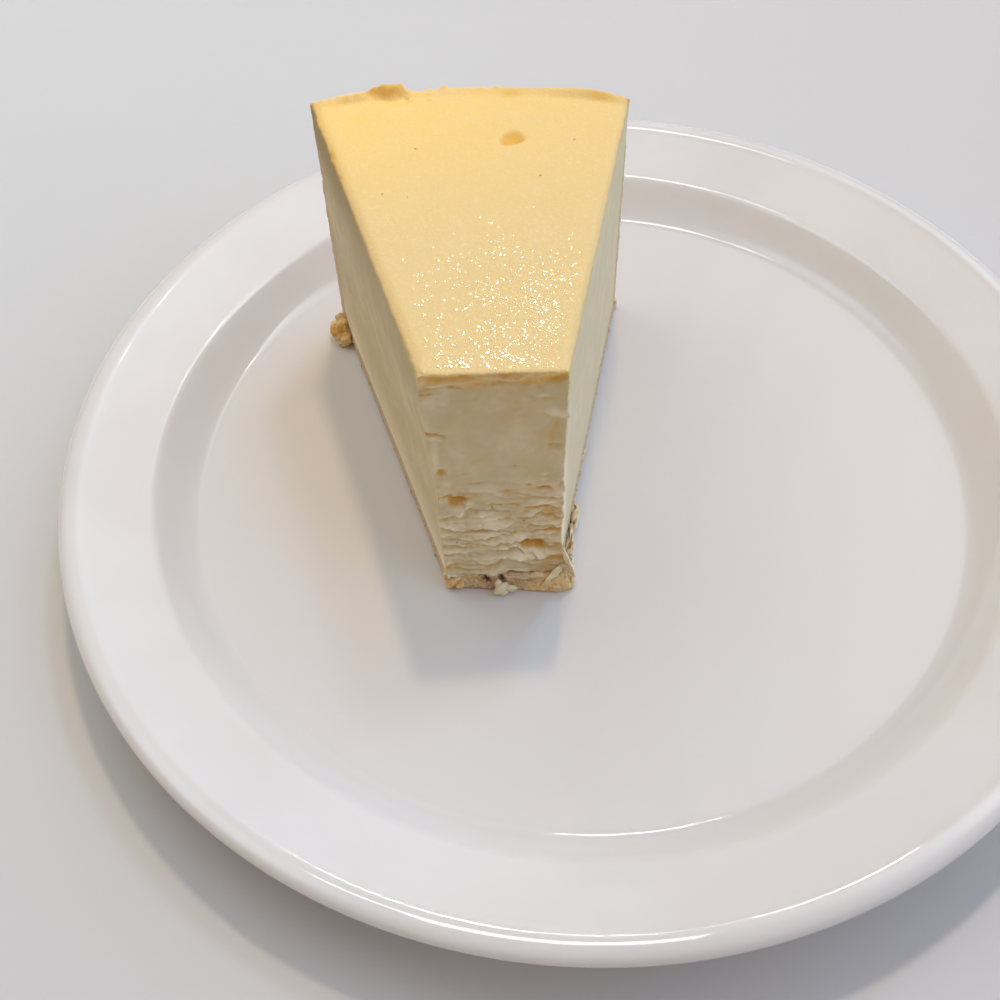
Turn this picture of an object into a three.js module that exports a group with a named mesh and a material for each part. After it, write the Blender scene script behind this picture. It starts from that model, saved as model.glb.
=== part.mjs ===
// A tall wedge of baked cheesecake with its tip eaten away, standing on a round glazed plate.
// Millimetres, +Z up, origin at the centre of the plate's foot, the cut front towards -Y.
import * as THREE from 'three';
import { mergeVertices } from 'three/addons/utils/BufferGeometryUtils.js';

// Plate: heights named RISE are measured from the well's floor.
const PLATE_RADIUS = 112.5;
const PLATE_SEGMENTS = 60;
const CURVE_STEPS = 3;
const PLATE_THICKNESS = 4.5;
const FOOT_HEIGHT = 2.5;
const FOOT_INNER_RADIUS = 62;
const FOOT_OUTER_RADIUS = 68;
const FOOT_EASE = 0.9;
const WELL_FLOOR = FOOT_HEIGHT + PLATE_THICKNESS;
const WELL_FLOOR_RADIUS = 86.6;
const WELL_COVE = { up: 6.5, inwards: 2.4 };
const CREASE_RADIUS = 93.2;
const CREASE_RISE = 8.4;
const CREASE_EASE = 1.1;
const LIP_RISE = 13.8;
const LIP_HALF_WIDTH = 4;
const LIP_HALF_HEIGHT = 2.5;
const LIP_BLEND = 0.6;
const RIM_SLOPE_LENGTH = 14.8;
const RIM_THICKNESS = 4.2;
const UNDER_BEND = 4;
const UNDER_EASE = 1.2;

// Slice: its own frame has the cake's centre at the origin and the wedge's middle line along +Y.
const CAKE_RADIUS = 127;
const CUTS = 12;
const HALF_ANGLE = THREE.MathUtils.degToRad(180 / CUTS + 0.33);
const EATEN_LENGTH = 44.4;
const SLICE_HEIGHT = 63.5;
const TOP_TILT = 0.054;
const EDGE_ROUNDING = 1.6;
const SLICE_TURN = THREE.MathUtils.degToRad(2.81);
const CAKE_CENTRE = new THREE.Vector2(-15.92, -70.73);
const GAP = 0.3;

// Crust: a base under the whole wedge and a wall up the back that thins towards its top.
const BASE_THICKNESS = 4;
const WALL_THICKNESS = 4;
const WALL_TAPER = 0.45;
const WALL_PROUD = 0.9;
const WALL_TOP_MIDDLE = 46.5;
const WALL_TOP_SLANT = 2.8;
const WALL_TOP_RIPPLES = [
  { size: 1.3, waves: 7.3, shift: 0.8 },
  { size: 0.7, waves: 17, shift: 0 },
];
const BASE_OVERHANG = 3.1;
const BASE_LEAN = 0.7;
const CRUMB_DEPTH = 0.38;
const TOE = { x: 10.5, y: 41.3, reach: 3.6, right: 3, forward: 2.4 };

// Torn front of the filling: smooth above, in ragged level layers below.
const LAYER_TOP = 34;
const LAYER_FADE = 9;
const LAYER_PITCH = 3.7;
const LAYER_DEPTH = 0.85;
const LAYER_RIPPLES = [
  { size: 1.5, waves: 0.34, shift: 1 },
  { size: 0.7, waves: 0.9, shift: 0 },
];
const LAYER_PATCHES = { size: 0.35, waves: 0.55, climb: 0.3 };
const FRONT_HOLLOW = 0.5;
const HOLLOW_WIDTH = 11.1;
const EDGE_RAG = { size: 0.4, waves: 1.3 };
const CORNER_EASE = 0.25;
const DIMPLE = { x: 7.6, y: 108.6, depth: 1.3, spread: 2.1 };
const RIM_LUMP = { x: -16.4, y: 124.4, height: 1.8, spread: 2.6 };
const BACK_RIM = { height: 0.7, sides: 1, at: 24, spread: 5, width: 3 };

// The soft slice has sagged: its torn front runs out over the crust and flares to the right, and its sides bulge
// at the front's top.
const APRON = { reach: 2.9, low: 3, high: 15 };
const BULGE = { left: 1.7, right: 0.4, low: 28, high: 58 };
const FLARE = { right: 1.9, low: 4.5, high: 10.5 };

// Mesh lines across, front to back and upwards. The lower lines end at the top of the crust's wall.
const ACROSS_LINES = 18;
const BACK_LINES = 14;
const LOWER_LINES = 26;
const UPPER_LINES = 8;
const BASE_LINES = 10;
const WALL_LINES = 13;
const CRUST_LAYERS = 2;

const { lerp, smoothstep } = THREE.MathUtils;

/** Sum of a few sine ripples at a place along a line. */
function rippled(place, ripples) {
  return ripples.reduce((sum, { size, waves, shift }) => sum + size * Math.sin(waves * place + shift), 0);
}

/** A round swelling with the height 1 at its middle. */
function swelling(dx, dy, spread) {
  return Math.exp(-(dx * dx + dy * dy) / (2 * spread * spread));
}

/** Share along a row of mesh lines whose first and last inner lines keep close to the two ends. */
function lineShare(share, lines, margin) {
  const line = Math.round(share * lines);
  if (line === 0 || line === lines) return line / lines;
  return lerp(margin, 1 - margin, (line - 1) / (lines - 2));
}

/** A closed block of mesh lines whose points are put where `place` says, from shares of 0 to 1. */
function shapedBlock(across, along, up, place) {
  const block = new THREE.BoxGeometry(1, 1, 1, across, along, up);
  block.deleteAttribute('normal');
  block.deleteAttribute('uv');
  const geometry = mergeVertices(block);
  const position = geometry.attributes.position;
  for (let i = 0; i < position.count; i += 1) {
    const shares = [position.getX(i), position.getY(i), position.getZ(i)].map((value) => value + 0.5);
    const point = place(...shares);
    position.setXYZ(i, point.x, point.y, point.z);
  }
  geometry.computeVertexNormals();
  return geometry;
}

/** A named mesh with the matt or glossy finish of its stuff. */
function part(name, geometry, color, roughness) {
  const material = new THREE.MeshStandardMaterial({ color, roughness, metalness: 0 });
  const mesh = new THREE.Mesh(geometry, material);
  mesh.name = name;
  return mesh;
}

/** The plate's section, from the middle of its underside out round the lip and back over the well. */
function plateProfile() {
  const lipRadius = PLATE_RADIUS - LIP_HALF_WIDTH;
  const lipHeight = WELL_FLOOR + LIP_RISE - LIP_HALF_HEIGHT;
  const crease = new THREE.Vector2(CREASE_RADIUS, WELL_FLOOR + CREASE_RISE);
  const floorEdge = new THREE.Vector2(WELL_FLOOR_RADIUS, WELL_FLOOR);
  const wall = crease.clone().sub(floorEdge).normalize();
  const outside = new THREE.Vector2(wall.y, -wall.x).multiplyScalar(RIM_THICKNESS);
  const wallFoot = floorEdge.clone().add(outside);
  const underCrease = crease.clone().add(new THREE.Vector2(outside.x, outside.y - UNDER_EASE / 2));
  const creaseFoot = crease.clone().addScaledVector(wall, -CREASE_EASE);
  const coveTop = floorEdge.clone().addScaledVector(wall, WELL_COVE.up);
  const rim = new THREE.Vector2(lipRadius, lipHeight + LIP_HALF_HEIGHT).sub(crease).normalize();
  const rimEnd = crease.clone().addScaledVector(rim, CREASE_EASE);
  const lipFoot = crease.clone().addScaledVector(rim, RIM_SLOPE_LENGTH);

  const profile = new THREE.Path();
  profile.moveTo(0, FOOT_HEIGHT);
  profile.lineTo(FOOT_INNER_RADIUS - FOOT_EASE, FOOT_HEIGHT);
  profile.lineTo(FOOT_INNER_RADIUS, FOOT_EASE);
  profile.lineTo(FOOT_INNER_RADIUS + FOOT_EASE, 0);
  profile.lineTo(FOOT_OUTER_RADIUS - FOOT_EASE, 0);
  profile.lineTo(FOOT_OUTER_RADIUS, FOOT_EASE);
  profile.lineTo(FOOT_OUTER_RADIUS + FOOT_EASE, FOOT_HEIGHT);
  profile.lineTo(wallFoot.x - UNDER_BEND, FOOT_HEIGHT);
  profile.quadraticCurveTo(wallFoot.x, FOOT_HEIGHT, wallFoot.x + UNDER_EASE, wallFoot.y + UNDER_EASE);
  profile.lineTo(underCrease.x - UNDER_EASE, underCrease.y - UNDER_EASE);
  profile.quadraticCurveTo(
    underCrease.x, underCrease.y, underCrease.x + 2 * UNDER_EASE, underCrease.y + UNDER_EASE / 2,
  );
  profile.lineTo(lipRadius, lipHeight - LIP_HALF_HEIGHT);
  profile.absellipse(
    lipRadius, lipHeight, LIP_HALF_WIDTH, LIP_HALF_HEIGHT, -Math.PI / 2, Math.PI / 2, false, 0,
  );
  profile.quadraticCurveTo(lipRadius - LIP_BLEND, lipHeight + LIP_HALF_HEIGHT, lipFoot.x, lipFoot.y);
  profile.lineTo(rimEnd.x, rimEnd.y);
  profile.quadraticCurveTo(crease.x, crease.y, creaseFoot.x, creaseFoot.y);
  profile.lineTo(coveTop.x, coveTop.y);
  profile.quadraticCurveTo(floorEdge.x, floorEdge.y, floorEdge.x - WELL_COVE.inwards, WELL_FLOOR);
  profile.lineTo(0, WELL_FLOOR);
  return profile.getPoints(CURVE_STEPS);
}

/** Height of the crust wall's uneven top at a place across the slice, -1 left to 1 right. */
function wallTop(across) {
  return WALL_TOP_MIDDLE + WALL_TOP_SLANT * across + rippled(across, WALL_TOP_RIPPLES);
}

/** Radius of the wall's inner face at a share of its height. */
function wallInner(share) {
  return CAKE_RADIUS - WALL_THICKNESS * (1 - WALL_TAPER * share * share);
}

/** Place across the slice, -1 to 1, of a mesh line at a given radius from the cake's centre. */
function acrossAt(share, radius) {
  const margin = EDGE_ROUNDING / (2 * radius * Math.sin(HALF_ANGLE));
  return 2 * lineShare(share, ACROSS_LINES, margin) - 1;
}

/** Point of the slice at a place across it, a radius from the cake's centre and a height. */
function slicePoint(across, radius, z) {
  const angle = across * HALF_ANGLE;
  return new THREE.Vector3(radius * Math.sin(angle), radius * Math.cos(angle), z);
}

/** Height that the browned top's back rim adds, most of it towards both sides. */
function backRim(x, y) {
  const { height, sides, at, spread, width } = BACK_RIM;
  const edge = CAKE_RADIUS - WALL_PROUD;
  const near = smoothstep(Math.hypot(x, y), edge - width, edge);
  return near * (height + sides * swelling(Math.abs(x) - at, 0, spread));
}

/** Height of the browned top, which leans to the right and has a dimple and a lump on its back rim. */
function topHeight(x, y) {
  const dimple = DIMPLE.depth * swelling(x - DIMPLE.x, y - DIMPLE.y, DIMPLE.spread);
  const lump = RIM_LUMP.height * swelling(x - RIM_LUMP.x, y - RIM_LUMP.y, RIM_LUMP.spread);
  return SLICE_HEIGHT - TOP_TILT * x - dimple + lump + backRim(x, y);
}

/** How far the torn front stands forward of its plane: level layers below, a shallow hollow above. */
function tornFront(x, z) {
  const flaky = 1 - smoothstep(z, LAYER_TOP - LAYER_FADE, LAYER_TOP);
  const phase = (2 * Math.PI * z) / LAYER_PITCH + rippled(x, LAYER_RIPPLES);
  const { size, waves, climb } = LAYER_PATCHES;
  const patchy = 1 - size * (1 - Math.sin(waves * x + climb * z));
  const layers = LAYER_DEPTH * Math.sin(phase) * patchy;
  const hollow = -FRONT_HOLLOW * Math.cos(x / HOLLOW_WIDTH) * (1 - flaky);
  return layers * flaky + hollow;
}

/** How far the foot of the torn front runs forward at a height. */
function apron(z) {
  return APRON.reach * (1 - smoothstep(z, APRON.low, APRON.high));
}

/** How far a point bulges sideways, from its place across the slice, distance along it and height. */
function bulge(across, y, z) {
  const reach = across < 0 ? BULGE.left : BULGE.right;
  const fore = (CAKE_RADIUS - y) / (CAKE_RADIUS - EATEN_LENGTH);
  return across * reach * smoothstep(z, BULGE.low, BULGE.high) * Math.max(fore, 0);
}

/** How far the front's right edge flares out at its foot. */
function flare(z) {
  return FLARE.right * (1 - smoothstep(z, FLARE.low, FLARE.high));
}

/** The cheese filling: it fills the crust and rises over the top of its wall. */
function fillingPoint(u, v, w) {
  const line = Math.round(w * (LOWER_LINES + UPPER_LINES));
  const lower = Math.min(line, LOWER_LINES) / LOWER_LINES;
  const upperShare = Math.max(line - LOWER_LINES, 0) / UPPER_LINES;
  const upper = lineShare(upperShare, UPPER_LINES, EDGE_ROUNDING / (SLICE_HEIGHT - WALL_TOP_MIDDLE));
  const backRadius = upper === 0 ? wallInner(lower) - GAP : CAKE_RADIUS - WALL_PROUD;
  const depth = lineShare(v, BACK_LINES, EDGE_ROUNDING / (CAKE_RADIUS - EATEN_LENGTH));
  const across = acrossAt(u, lerp(EATEN_LENGTH, CAKE_RADIUS, depth));
  const frontRadius = EATEN_LENGTH / Math.cos(across * HALF_ANGLE);
  const point = slicePoint(across, lerp(frontRadius, backRadius, depth), 0);

  const floor = BASE_THICKNESS + 2 * GAP;
  const ledge = lerp(floor, wallTop(across) + 2 * GAP, lower);
  point.z = lerp(ledge, topHeight(point.x, point.y), upper);
  point.x += bulge(across, point.y, point.z);

  const inset = EDGE_ROUNDING * (1 - Math.SQRT1_2);
  const onTop = w === 1;
  const onSide = u === 0 || u === 1;
  if (v === 0) {
    const fade = onTop ? 0 : 1;
    point.y -= tornFront(point.x, point.z) * fade;
    const rag = EDGE_RAG.size * Math.sin(EDGE_RAG.waves * point.z + across) * fade;
    if (onSide) point.x += rag - CORNER_EASE * across;
    point.x *= 1 - apron(point.z) / EATEN_LENGTH;
    if (u === 1) point.x += flare(point.z);
    point.y -= apron(point.z);
  }
  if (onTop && (onSide || v === 0 || v === 1)) {
    point.z -= inset;
    if (onSide) point.x -= across * inset;
    if (v === 0) point.y += inset;
    if (v === 1) point.y -= inset;
  }
  return point;
}

/** Crumbly unevenness of the crust's outside, from two places measured along it. */
function crumble(a, b) {
  return CRUMB_DEPTH * (Math.sin(1.9 * a + 0.7) * Math.sin(2.3 * b) + Math.sin(0.83 * a + 1.1 * b));
}

/** The biscuit crust: `along` runs back under the filling and up the wall, `through` from its outside in. */
function crustPoint(u, along, through) {
  const line = Math.round(along * (BASE_LINES + WALL_LINES));
  const base = Math.min(line, BASE_LINES) / BASE_LINES;
  const wall = Math.max(line - BASE_LINES, 0) / WALL_LINES;
  const across = acrossAt(u, lerp(EATEN_LENGTH, CAKE_RADIUS, base));
  const frontRadius = (EATEN_LENGTH - BASE_OVERHANG) / Math.cos(across * HALF_ANGLE);
  const top = wallTop(across);
  const inner = slicePoint(across, lerp(frontRadius + BASE_LEAN, wallInner(wall), base), 0);
  inner.z = lerp(BASE_THICKNESS, top, wall);
  const outer = slicePoint(across, lerp(frontRadius, CAKE_RADIUS, base), lerp(0, top, wall));
  const point = outer.lerp(inner, through);

  if (u === 0 || u === 1) point.x += across * crumble(point.y, point.z);
  if (line === 0) point.y -= Math.abs(crumble(point.x, point.z + BASE_THICKNESS));
  if (line > BASE_LINES && through < 1) point.y += (1 - through) * Math.min(crumble(point.x, point.z), 0);

  const toe = swelling(point.x - TOE.x, point.y - TOE.y, TOE.reach) * (1 - point.z / (2 * BASE_THICKNESS));
  if (wall === 0) {
    point.x += TOE.right * toe;
    point.y -= TOE.forward * toe;
  }
  point.z += GAP;
  return point;
}

const plateGeometry = new THREE.LatheGeometry(plateProfile(), PLATE_SEGMENTS).rotateX(Math.PI / 2);
const crustGeometry = shapedBlock(ACROSS_LINES, BASE_LINES + WALL_LINES, CRUST_LAYERS, crustPoint);
const fillingGeometry = shapedBlock(ACROSS_LINES, BACK_LINES, LOWER_LINES + UPPER_LINES, fillingPoint);

const slice = new THREE.Group();
slice.position.set(CAKE_CENTRE.x, CAKE_CENTRE.y, WELL_FLOOR);
slice.rotation.z = SLICE_TURN;
slice.add(part('biscuit_crust', crustGeometry, 0xb8864a, 0.9));
slice.add(part('cheese_filling', fillingGeometry, 0xe8d9ae, 0.55));

const servedSlice = new THREE.Group();
servedSlice.add(part('plate', plateGeometry, 0xe4e0dc, 0.1));
servedSlice.add(slice);

export default servedSlice;
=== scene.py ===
"""A tall slice of baked cheesecake with its tip eaten away, served on a round white glazed plate.

Sizes are millimetres in the plate's or the slice's own frame. The slice's frame has the middle of the
cake at its origin, the middle line of the slice along +Y and the well of the plate at height 0. A mesh
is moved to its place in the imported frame, in metres, when it is finished.
"""

import logging
import math
import random
from dataclasses import dataclass
from enum import Enum
from typing import Any, Iterable, Sequence, Union

import bmesh
import bpy
from mathutils import Matrix, Vector, noise

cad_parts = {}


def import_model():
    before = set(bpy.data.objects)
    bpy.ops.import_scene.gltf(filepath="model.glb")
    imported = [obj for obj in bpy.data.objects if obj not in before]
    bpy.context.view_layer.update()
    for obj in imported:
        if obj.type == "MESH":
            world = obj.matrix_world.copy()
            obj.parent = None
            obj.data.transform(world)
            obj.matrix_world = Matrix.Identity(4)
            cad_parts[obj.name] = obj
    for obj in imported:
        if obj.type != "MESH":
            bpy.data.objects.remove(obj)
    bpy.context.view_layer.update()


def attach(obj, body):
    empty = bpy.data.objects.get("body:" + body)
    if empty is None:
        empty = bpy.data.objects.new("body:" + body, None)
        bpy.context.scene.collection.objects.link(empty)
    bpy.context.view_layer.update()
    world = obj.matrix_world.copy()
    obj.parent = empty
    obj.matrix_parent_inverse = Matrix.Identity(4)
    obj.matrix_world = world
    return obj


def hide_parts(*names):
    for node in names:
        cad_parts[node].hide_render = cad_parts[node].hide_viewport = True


MM = 0.001
BODY = "root"
SEED = 20

report = logging.getLogger("served_slice")

Number = Union["Value", float]
Colour = tuple[float, float, float, float]
Stops = tuple[tuple[float, float], ...]
Triple = tuple[float, float, float]


# Small helpers


def lerp(start: float, end: float, share: float) -> float:
    """Number a share of the way from start to end."""
    return start + (end - start) * share


def clamp(value: float) -> float:
    """The value held between 0 and 1."""
    return min(max(value, 0.0), 1.0)


def ease(low: float, high: float, value: float) -> float:
    """Smooth step from 0 at low to 1 at high."""
    share = clamp((value - low) / (high - low))
    return share * share * (3 - 2 * share)


def bell(*offsets: float) -> float:
    """Round swelling with height 1 at no offset and about a third one unit away."""
    return math.exp(-sum(offset * offset for offset in offsets))


def along(stops: Stops, place: float) -> float:
    """Value at a place between stops, each of them a place and a value."""
    for (start, first), (end, last) in zip(stops, stops[1:]):
        if place <= end:
            return lerp(first, last, clamp((place - start) / (end - start)))
    return stops[-1][1]


def grain(x: float, y: float, z: float = 0.0) -> float:
    """Soft noise between -1 and 1."""
    return noise.noise(Vector((x, y, z)))


def crumbly(x: float, y: float, z: float = 0.0) -> float:
    """Noise with four finer layers on it, roughly between -1 and 1."""
    return noise.fractal(Vector((x, y, z)), 0.9, 2.1, 4)


def shade(red: int, green: int, blue: int) -> Colour:
    """Linear colour of a screen colour given from 0 to 255."""
    shares = [channel / 255 for channel in (red, green, blue)]
    linear = [s / 12.92 if s <= 0.04045 else ((s + 0.055) / 1.055) ** 2.4 for s in shares]
    return (*linear, 1.0)


# Materials


@dataclass(frozen=True)
class Value:
    """A number that changes over a surface. Python's operators on it add Math nodes."""

    paint: "Paint"
    socket: bpy.types.NodeSocket

    def math(self, operation: str, first: Number, second: Number = 0.0) -> "Value":
        """Adds one Math node.

        Args:
            operation: Blender's name of the operation.
            first: Value or number of the first socket.
            second: Value or number of the second socket.

        Returns:
            The node's result.
        """
        node = self.paint.add("ShaderNodeMath", {"operation": operation}, {0: first, 1: second})
        return Value(self.paint, node.outputs[0])

    def __add__(self, other: Number) -> "Value":
        """Sum."""
        return self.math("ADD", self, other)

    __radd__ = __add__

    def __mul__(self, other: Number) -> "Value":
        """Product."""
        return self.math("MULTIPLY", self, other)

    __rmul__ = __mul__

    def __sub__(self, other: Number) -> "Value":
        """Difference."""
        return self.math("SUBTRACT", self, other)

    def __rsub__(self, other: Number) -> "Value":
        """Difference from a number."""
        return self.math("SUBTRACT", other, self)

    def __pow__(self, other: Number) -> "Value":
        """Power."""
        return self.math("POWER", self, other)

    def atmost(self, other: Number) -> "Value":
        """The smaller of two values."""
        return self.math("MINIMUM", self, other)

    def step(self, low: float, high: float) -> "Value":
        """Smooth step from 0 where the value is low to 1 where it is high.

        Args:
            low: Value that gives 0.
            high: Value that gives 1, which may be the smaller one.

        Returns:
            The stepped value.
        """
        node = self.paint.add(
            "ShaderNodeMapRange",
            {"interpolation_type": "SMOOTHSTEP", "clamp": True},
            {0: self, 1: low, 2: high, 3: 0.0, 4: 1.0},
        )
        return Value(self.paint, node.outputs[0])


class Paint:
    """One procedural material, to which nodes are added one after the other."""

    def __init__(self, name: str) -> None:
        """Starts an empty material of that name."""
        self.material = bpy.data.materials.new(name)
        self.material.use_nodes = True
        self.tree = self.material.node_tree
        self.tree.nodes.clear()
        self.place = self.add("ShaderNodeTexCoord").outputs["Object"]

    def add(
        self,
        kind: str,
        settings: dict[str, Any] | None = None,
        inputs: dict[str | int, Any] | None = None,
    ) -> bpy.types.Node:
        """Adds any node.

        Args:
            kind: Blender's name of the node's type.
            settings: Settings of the node, which are made first.
            inputs: Values or links of its sockets, by name or number.

        Returns:
            The new node.
        """
        node = self.tree.nodes.new(kind)
        for name, value in (settings or {}).items():
            setattr(node, name, value)
        for name, value in (inputs or {}).items():
            socket = value.socket if isinstance(value, Value) else value
            if isinstance(socket, bpy.types.NodeSocket):
                self.tree.links.new(socket, node.inputs[name])
            else:
                node.inputs[name].default_value = socket
        return node

    def stretched(self, sizes: Sequence[float], turn: float = 0.0) -> bpy.types.NodeSocket:
        """Object coordinates divided by the size of a pattern.

        Args:
            sizes: Size of the pattern along each axis, in millimetres.
            turn: Turn of the pattern round the vertical, in radians.

        Returns:
            The coordinates' socket.
        """
        scale = [size * MM for size in sizes]
        inputs = {"Vector": self.place, "Rotation": (0, 0, turn), "Scale": scale}
        return self.add("ShaderNodeMapping", {"vector_type": "TEXTURE"}, inputs).outputs[0]

    def noise(
        self, sizes: float | Sequence[float], detail: float = 2.0, rough: float = 0.5, turn: float = 0.0
    ) -> Value:
        """Cloudy pattern between 0 and 1.

        Args:
            sizes: Size of its patches in millimetres, one for all axes or one for each.
            detail: Number of finer layers.
            rough: Share that each finer layer adds.
            turn: Turn of the pattern round the vertical, in radians.

        Returns:
            The pattern's value.
        """
        each = [sizes] * 3 if isinstance(sizes, (int, float)) else sizes
        inputs = {"Vector": self.stretched(each, turn), "Scale": 1.0, "Detail": detail, "Roughness": rough}
        return Value(self, self.add("ShaderNodeTexNoise", None, inputs).outputs[0])

    def cells(self, size: float) -> tuple[Value, Value]:
        """Scattered cells, each with a random number.

        Args:
            size: Size of a cell in millimetres.

        Returns:
            The distance to the middle of the nearest cell, in cells, and that cell's random number.
        """
        inputs = {"Vector": self.stretched([size] * 3), "Scale": 1.0, "Randomness": 1.0}
        node = self.add("ShaderNodeTexVoronoi", None, inputs)
        split = self.add("ShaderNodeSeparateColor", None, {0: node.outputs["Color"]})
        return Value(self, node.outputs["Distance"]), Value(self, split.outputs[0])

    def layer(self, name: str) -> Value:
        """Value stored on the points of the mesh under a name."""
        node = self.add("ShaderNodeAttribute", {"attribute_name": name})
        return Value(self, node.outputs["Fac"])

    def height(self) -> Value:
        """Height above the underside of the plate's foot, in millimetres."""
        split = self.add("ShaderNodeSeparateXYZ", None, {0: self.place})
        return Value(self, split.outputs["Z"]) * (1 / MM)

    def radius(self) -> Value:
        """Distance from the plate's middle, in millimetres."""
        split = self.add("ShaderNodeSeparateXYZ", None, {0: self.place})
        x, y = (Value(self, split.outputs[axis]) for axis in ("X", "Y"))
        return (x * x + y * y) ** 0.5 * (1 / MM)

    def mix(self, first: Any, second: Any, share: Number) -> bpy.types.NodeSocket:
        """Mixes two colours.

        Args:
            first: Colour or colour socket where the share is 0.
            second: Colour or colour socket where the share is 1.
            share: How much of the second shows.

        Returns:
            The mixed colour's socket.
        """
        settings = {"data_type": "RGBA", "clamp_factor": True}
        return self.add("ShaderNodeMix", settings, {0: share, 6: first, 7: second}).outputs[2]

    def coats(self, colour: Any, *coats: tuple[Any, Number]) -> bpy.types.NodeSocket:
        """Lays colours over one another.

        Args:
            colour: Colour or colour socket at the bottom.
            coats: Each further colour with how much of it shows.

        Returns:
            The last mix's socket.
        """
        for coat, share in coats:
            colour = self.mix(colour, coat, share)
        return colour

    def bump(self, height: Value, depth: float) -> bpy.types.NodeSocket:
        """Normal of a fine relief.

        Args:
            height: Relief, where 1 is its full height.
            depth: That full height in millimetres.

        Returns:
            The normal's socket.
        """
        inputs = {"Height": height, "Distance": depth * MM, "Strength": 1.0}
        return self.add("ShaderNodeBump", None, inputs).outputs[0]

    def finish(self, inputs: dict[str, Any]) -> bpy.types.Material:
        """Ends the material.

        Args:
            inputs: Values or links of the surface shader's sockets.

        Returns:
            The finished material.
        """
        surface = self.add("ShaderNodeBsdfPrincipled", None, inputs)
        self.add("ShaderNodeOutputMaterial", None, {"Surface": surface.outputs[0]})
        return self.material


@dataclass(frozen=True)
class Glaze:
    """White glaze of the plate, with a bare ring under its foot."""

    body: Colour = shade(233, 230, 228)
    cloud: Colour = shade(228, 224, 222)
    well: Colour = shade(223, 219, 217)
    bare: Colour = shade(190, 182, 172)
    speck: Colour = shade(176, 168, 158)
    well_reach: float = 88.0
    polish: float = 0.03
    unevenness: float = 0.025
    bare_roughness: float = 0.6
    ripple_depth: float = 0.03
    coat: float = 0.25

    def material(self) -> bpy.types.Material:
        """The glaze's material."""
        paint = Paint("white_glaze")
        clouds = paint.noise(38, 3)
        specks, chance = paint.cells(14)
        speck = specks.step(0.03, 0.018) * chance.step(0.7, 0.75)
        bare = paint.height().step(0.5, 0.2)
        colour = paint.coats(
            self.body,
            (self.cloud, clouds.step(0.35, 0.7)),
            (self.well, paint.radius().step(self.well_reach + 6, self.well_reach - 4)),
            (self.speck, speck * 0.5),
            (self.bare, bare),
        )
        rough = self.polish + self.unevenness * paint.noise(22, 2) + self.bare_roughness * bare
        ripple = paint.noise(9, 1) + 0.02 * paint.noise(0.9, 2)
        return paint.finish(
            {
                "Base Color": colour,
                "Roughness": rough,
                "Normal": paint.bump(ripple, self.ripple_depth),
                "Coat Weight": self.coat,
                "Coat Roughness": self.polish,
            }
        )


# Tones that are stored on the points of a mesh
CHEESE_TONES = ("skin", "gold", "pale", "cut", "warm", "dull")
CRUMB_TONES = ("gold", "dull", "dark", "pale")


@dataclass(frozen=True)
class Cheese:
    """Baked cheese: cream inside, golden where it is torn or browned, under a moist yellow skin; on the
    torn front and the sides painted light and painted shade are mixed into these tones.
    """

    # Besides their own colour, pale carries painted light, gold and deep carry painted shade on the torn
    # front, and dull carries painted shade on the left side.
    cream: Colour = shade(214, 198, 156)
    pale: Colour = shade(252, 239, 208)
    streak: Colour = shade(188, 168, 126)
    gold: Colour = shade(216, 174, 100)
    deep: Colour = shade(216, 164, 88)
    dull: Colour = shade(178, 154, 108)
    skin: Colour = shade(237, 208, 148)
    skin_back: Colour = shade(255, 213, 131)
    amber: Colour = shade(238, 188, 96)
    mottled: Colour = shade(240, 213, 160)
    freckle: Colour = shade(248, 222, 168)
    pore: Colour = shade(176, 128, 74)
    slice_turn: float = math.radians(2.81)
    roughness: float = 0.6
    relief_depth: float = 0.07
    softness: float = 0.12
    soft_reach: float = 0.002
    specular: float = 0.12

    def material(self) -> bpy.types.Material:
        """The cheese's material."""
        paint = Paint("baked_cheese")
        skin, gold, pale, cut, warm, dull = (paint.layer(name) for name in CHEESE_TONES)
        mottle = paint.noise(7, 4, 0.6)
        fine = paint.noise(0.55, 3, 0.6)
        streaks = paint.noise((1.1, 26, 0.55), 3, 0.6, self.slice_turn)
        pores, chance = paint.cells(6.5)
        pore = pores.step(0.05, 0.03) * chance.step(0.62, 0.68)

        tone = gold * (0.72 + 0.56 * paint.noise(1.4, 3))
        inside = paint.coats(
            self.cream,
            (self.pale, mottle.step(0.4, 0.75) * 0.3),
            (self.streak, cut * streaks.step(0.5, 0.72) * 0.35),
            # dull: painted shade on the left side below its top edge, and a duller foot of the torn front.
            (self.dull, dull),
            # pale: paler torn bits, with painted light on lit flaps, on the foot of the left side and on
            # the right side near the front.
            (self.pale, pale),
            # gold and deep: golden browning, with painted shade in the grooves and under the flaps of the
            # torn front.
            (self.gold, tone.step(0.05, 0.75)),
            (self.deep, tone.step(0.7, 1.25)),
        )
        top = paint.coats(
            self.skin,
            (self.skin_back, warm),
            (self.mottled, mottle.step(0.45, 0.8) * 0.35),
            (self.freckle, paint.noise(0.8, 2).step(0.52, 0.72) * 0.35),
            (self.amber, tone.step(0.1, 0.9)),
        )
        colour = paint.coats(inside, (top, skin), (self.pore, pore * 0.6))

        grit = paint.noise(0.9, 3, 0.65)
        relief = fine * (0.35 + 1.9 * skin) + grit * 0.6 * (1 - skin) + streaks * cut * 0.5
        return paint.finish(
            {
                "Base Color": colour,
                "Roughness": self.roughness + 0.12 * (fine - 0.5),
                "Normal": paint.bump(relief - pore * 2.0, self.relief_depth),
                "Subsurface Weight": self.softness,
                "Subsurface Radius": (1.0, 0.7, 0.35),
                "Subsurface Scale": self.soft_reach,
                "Specular IOR Level": self.specular,
            }
        )


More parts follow.
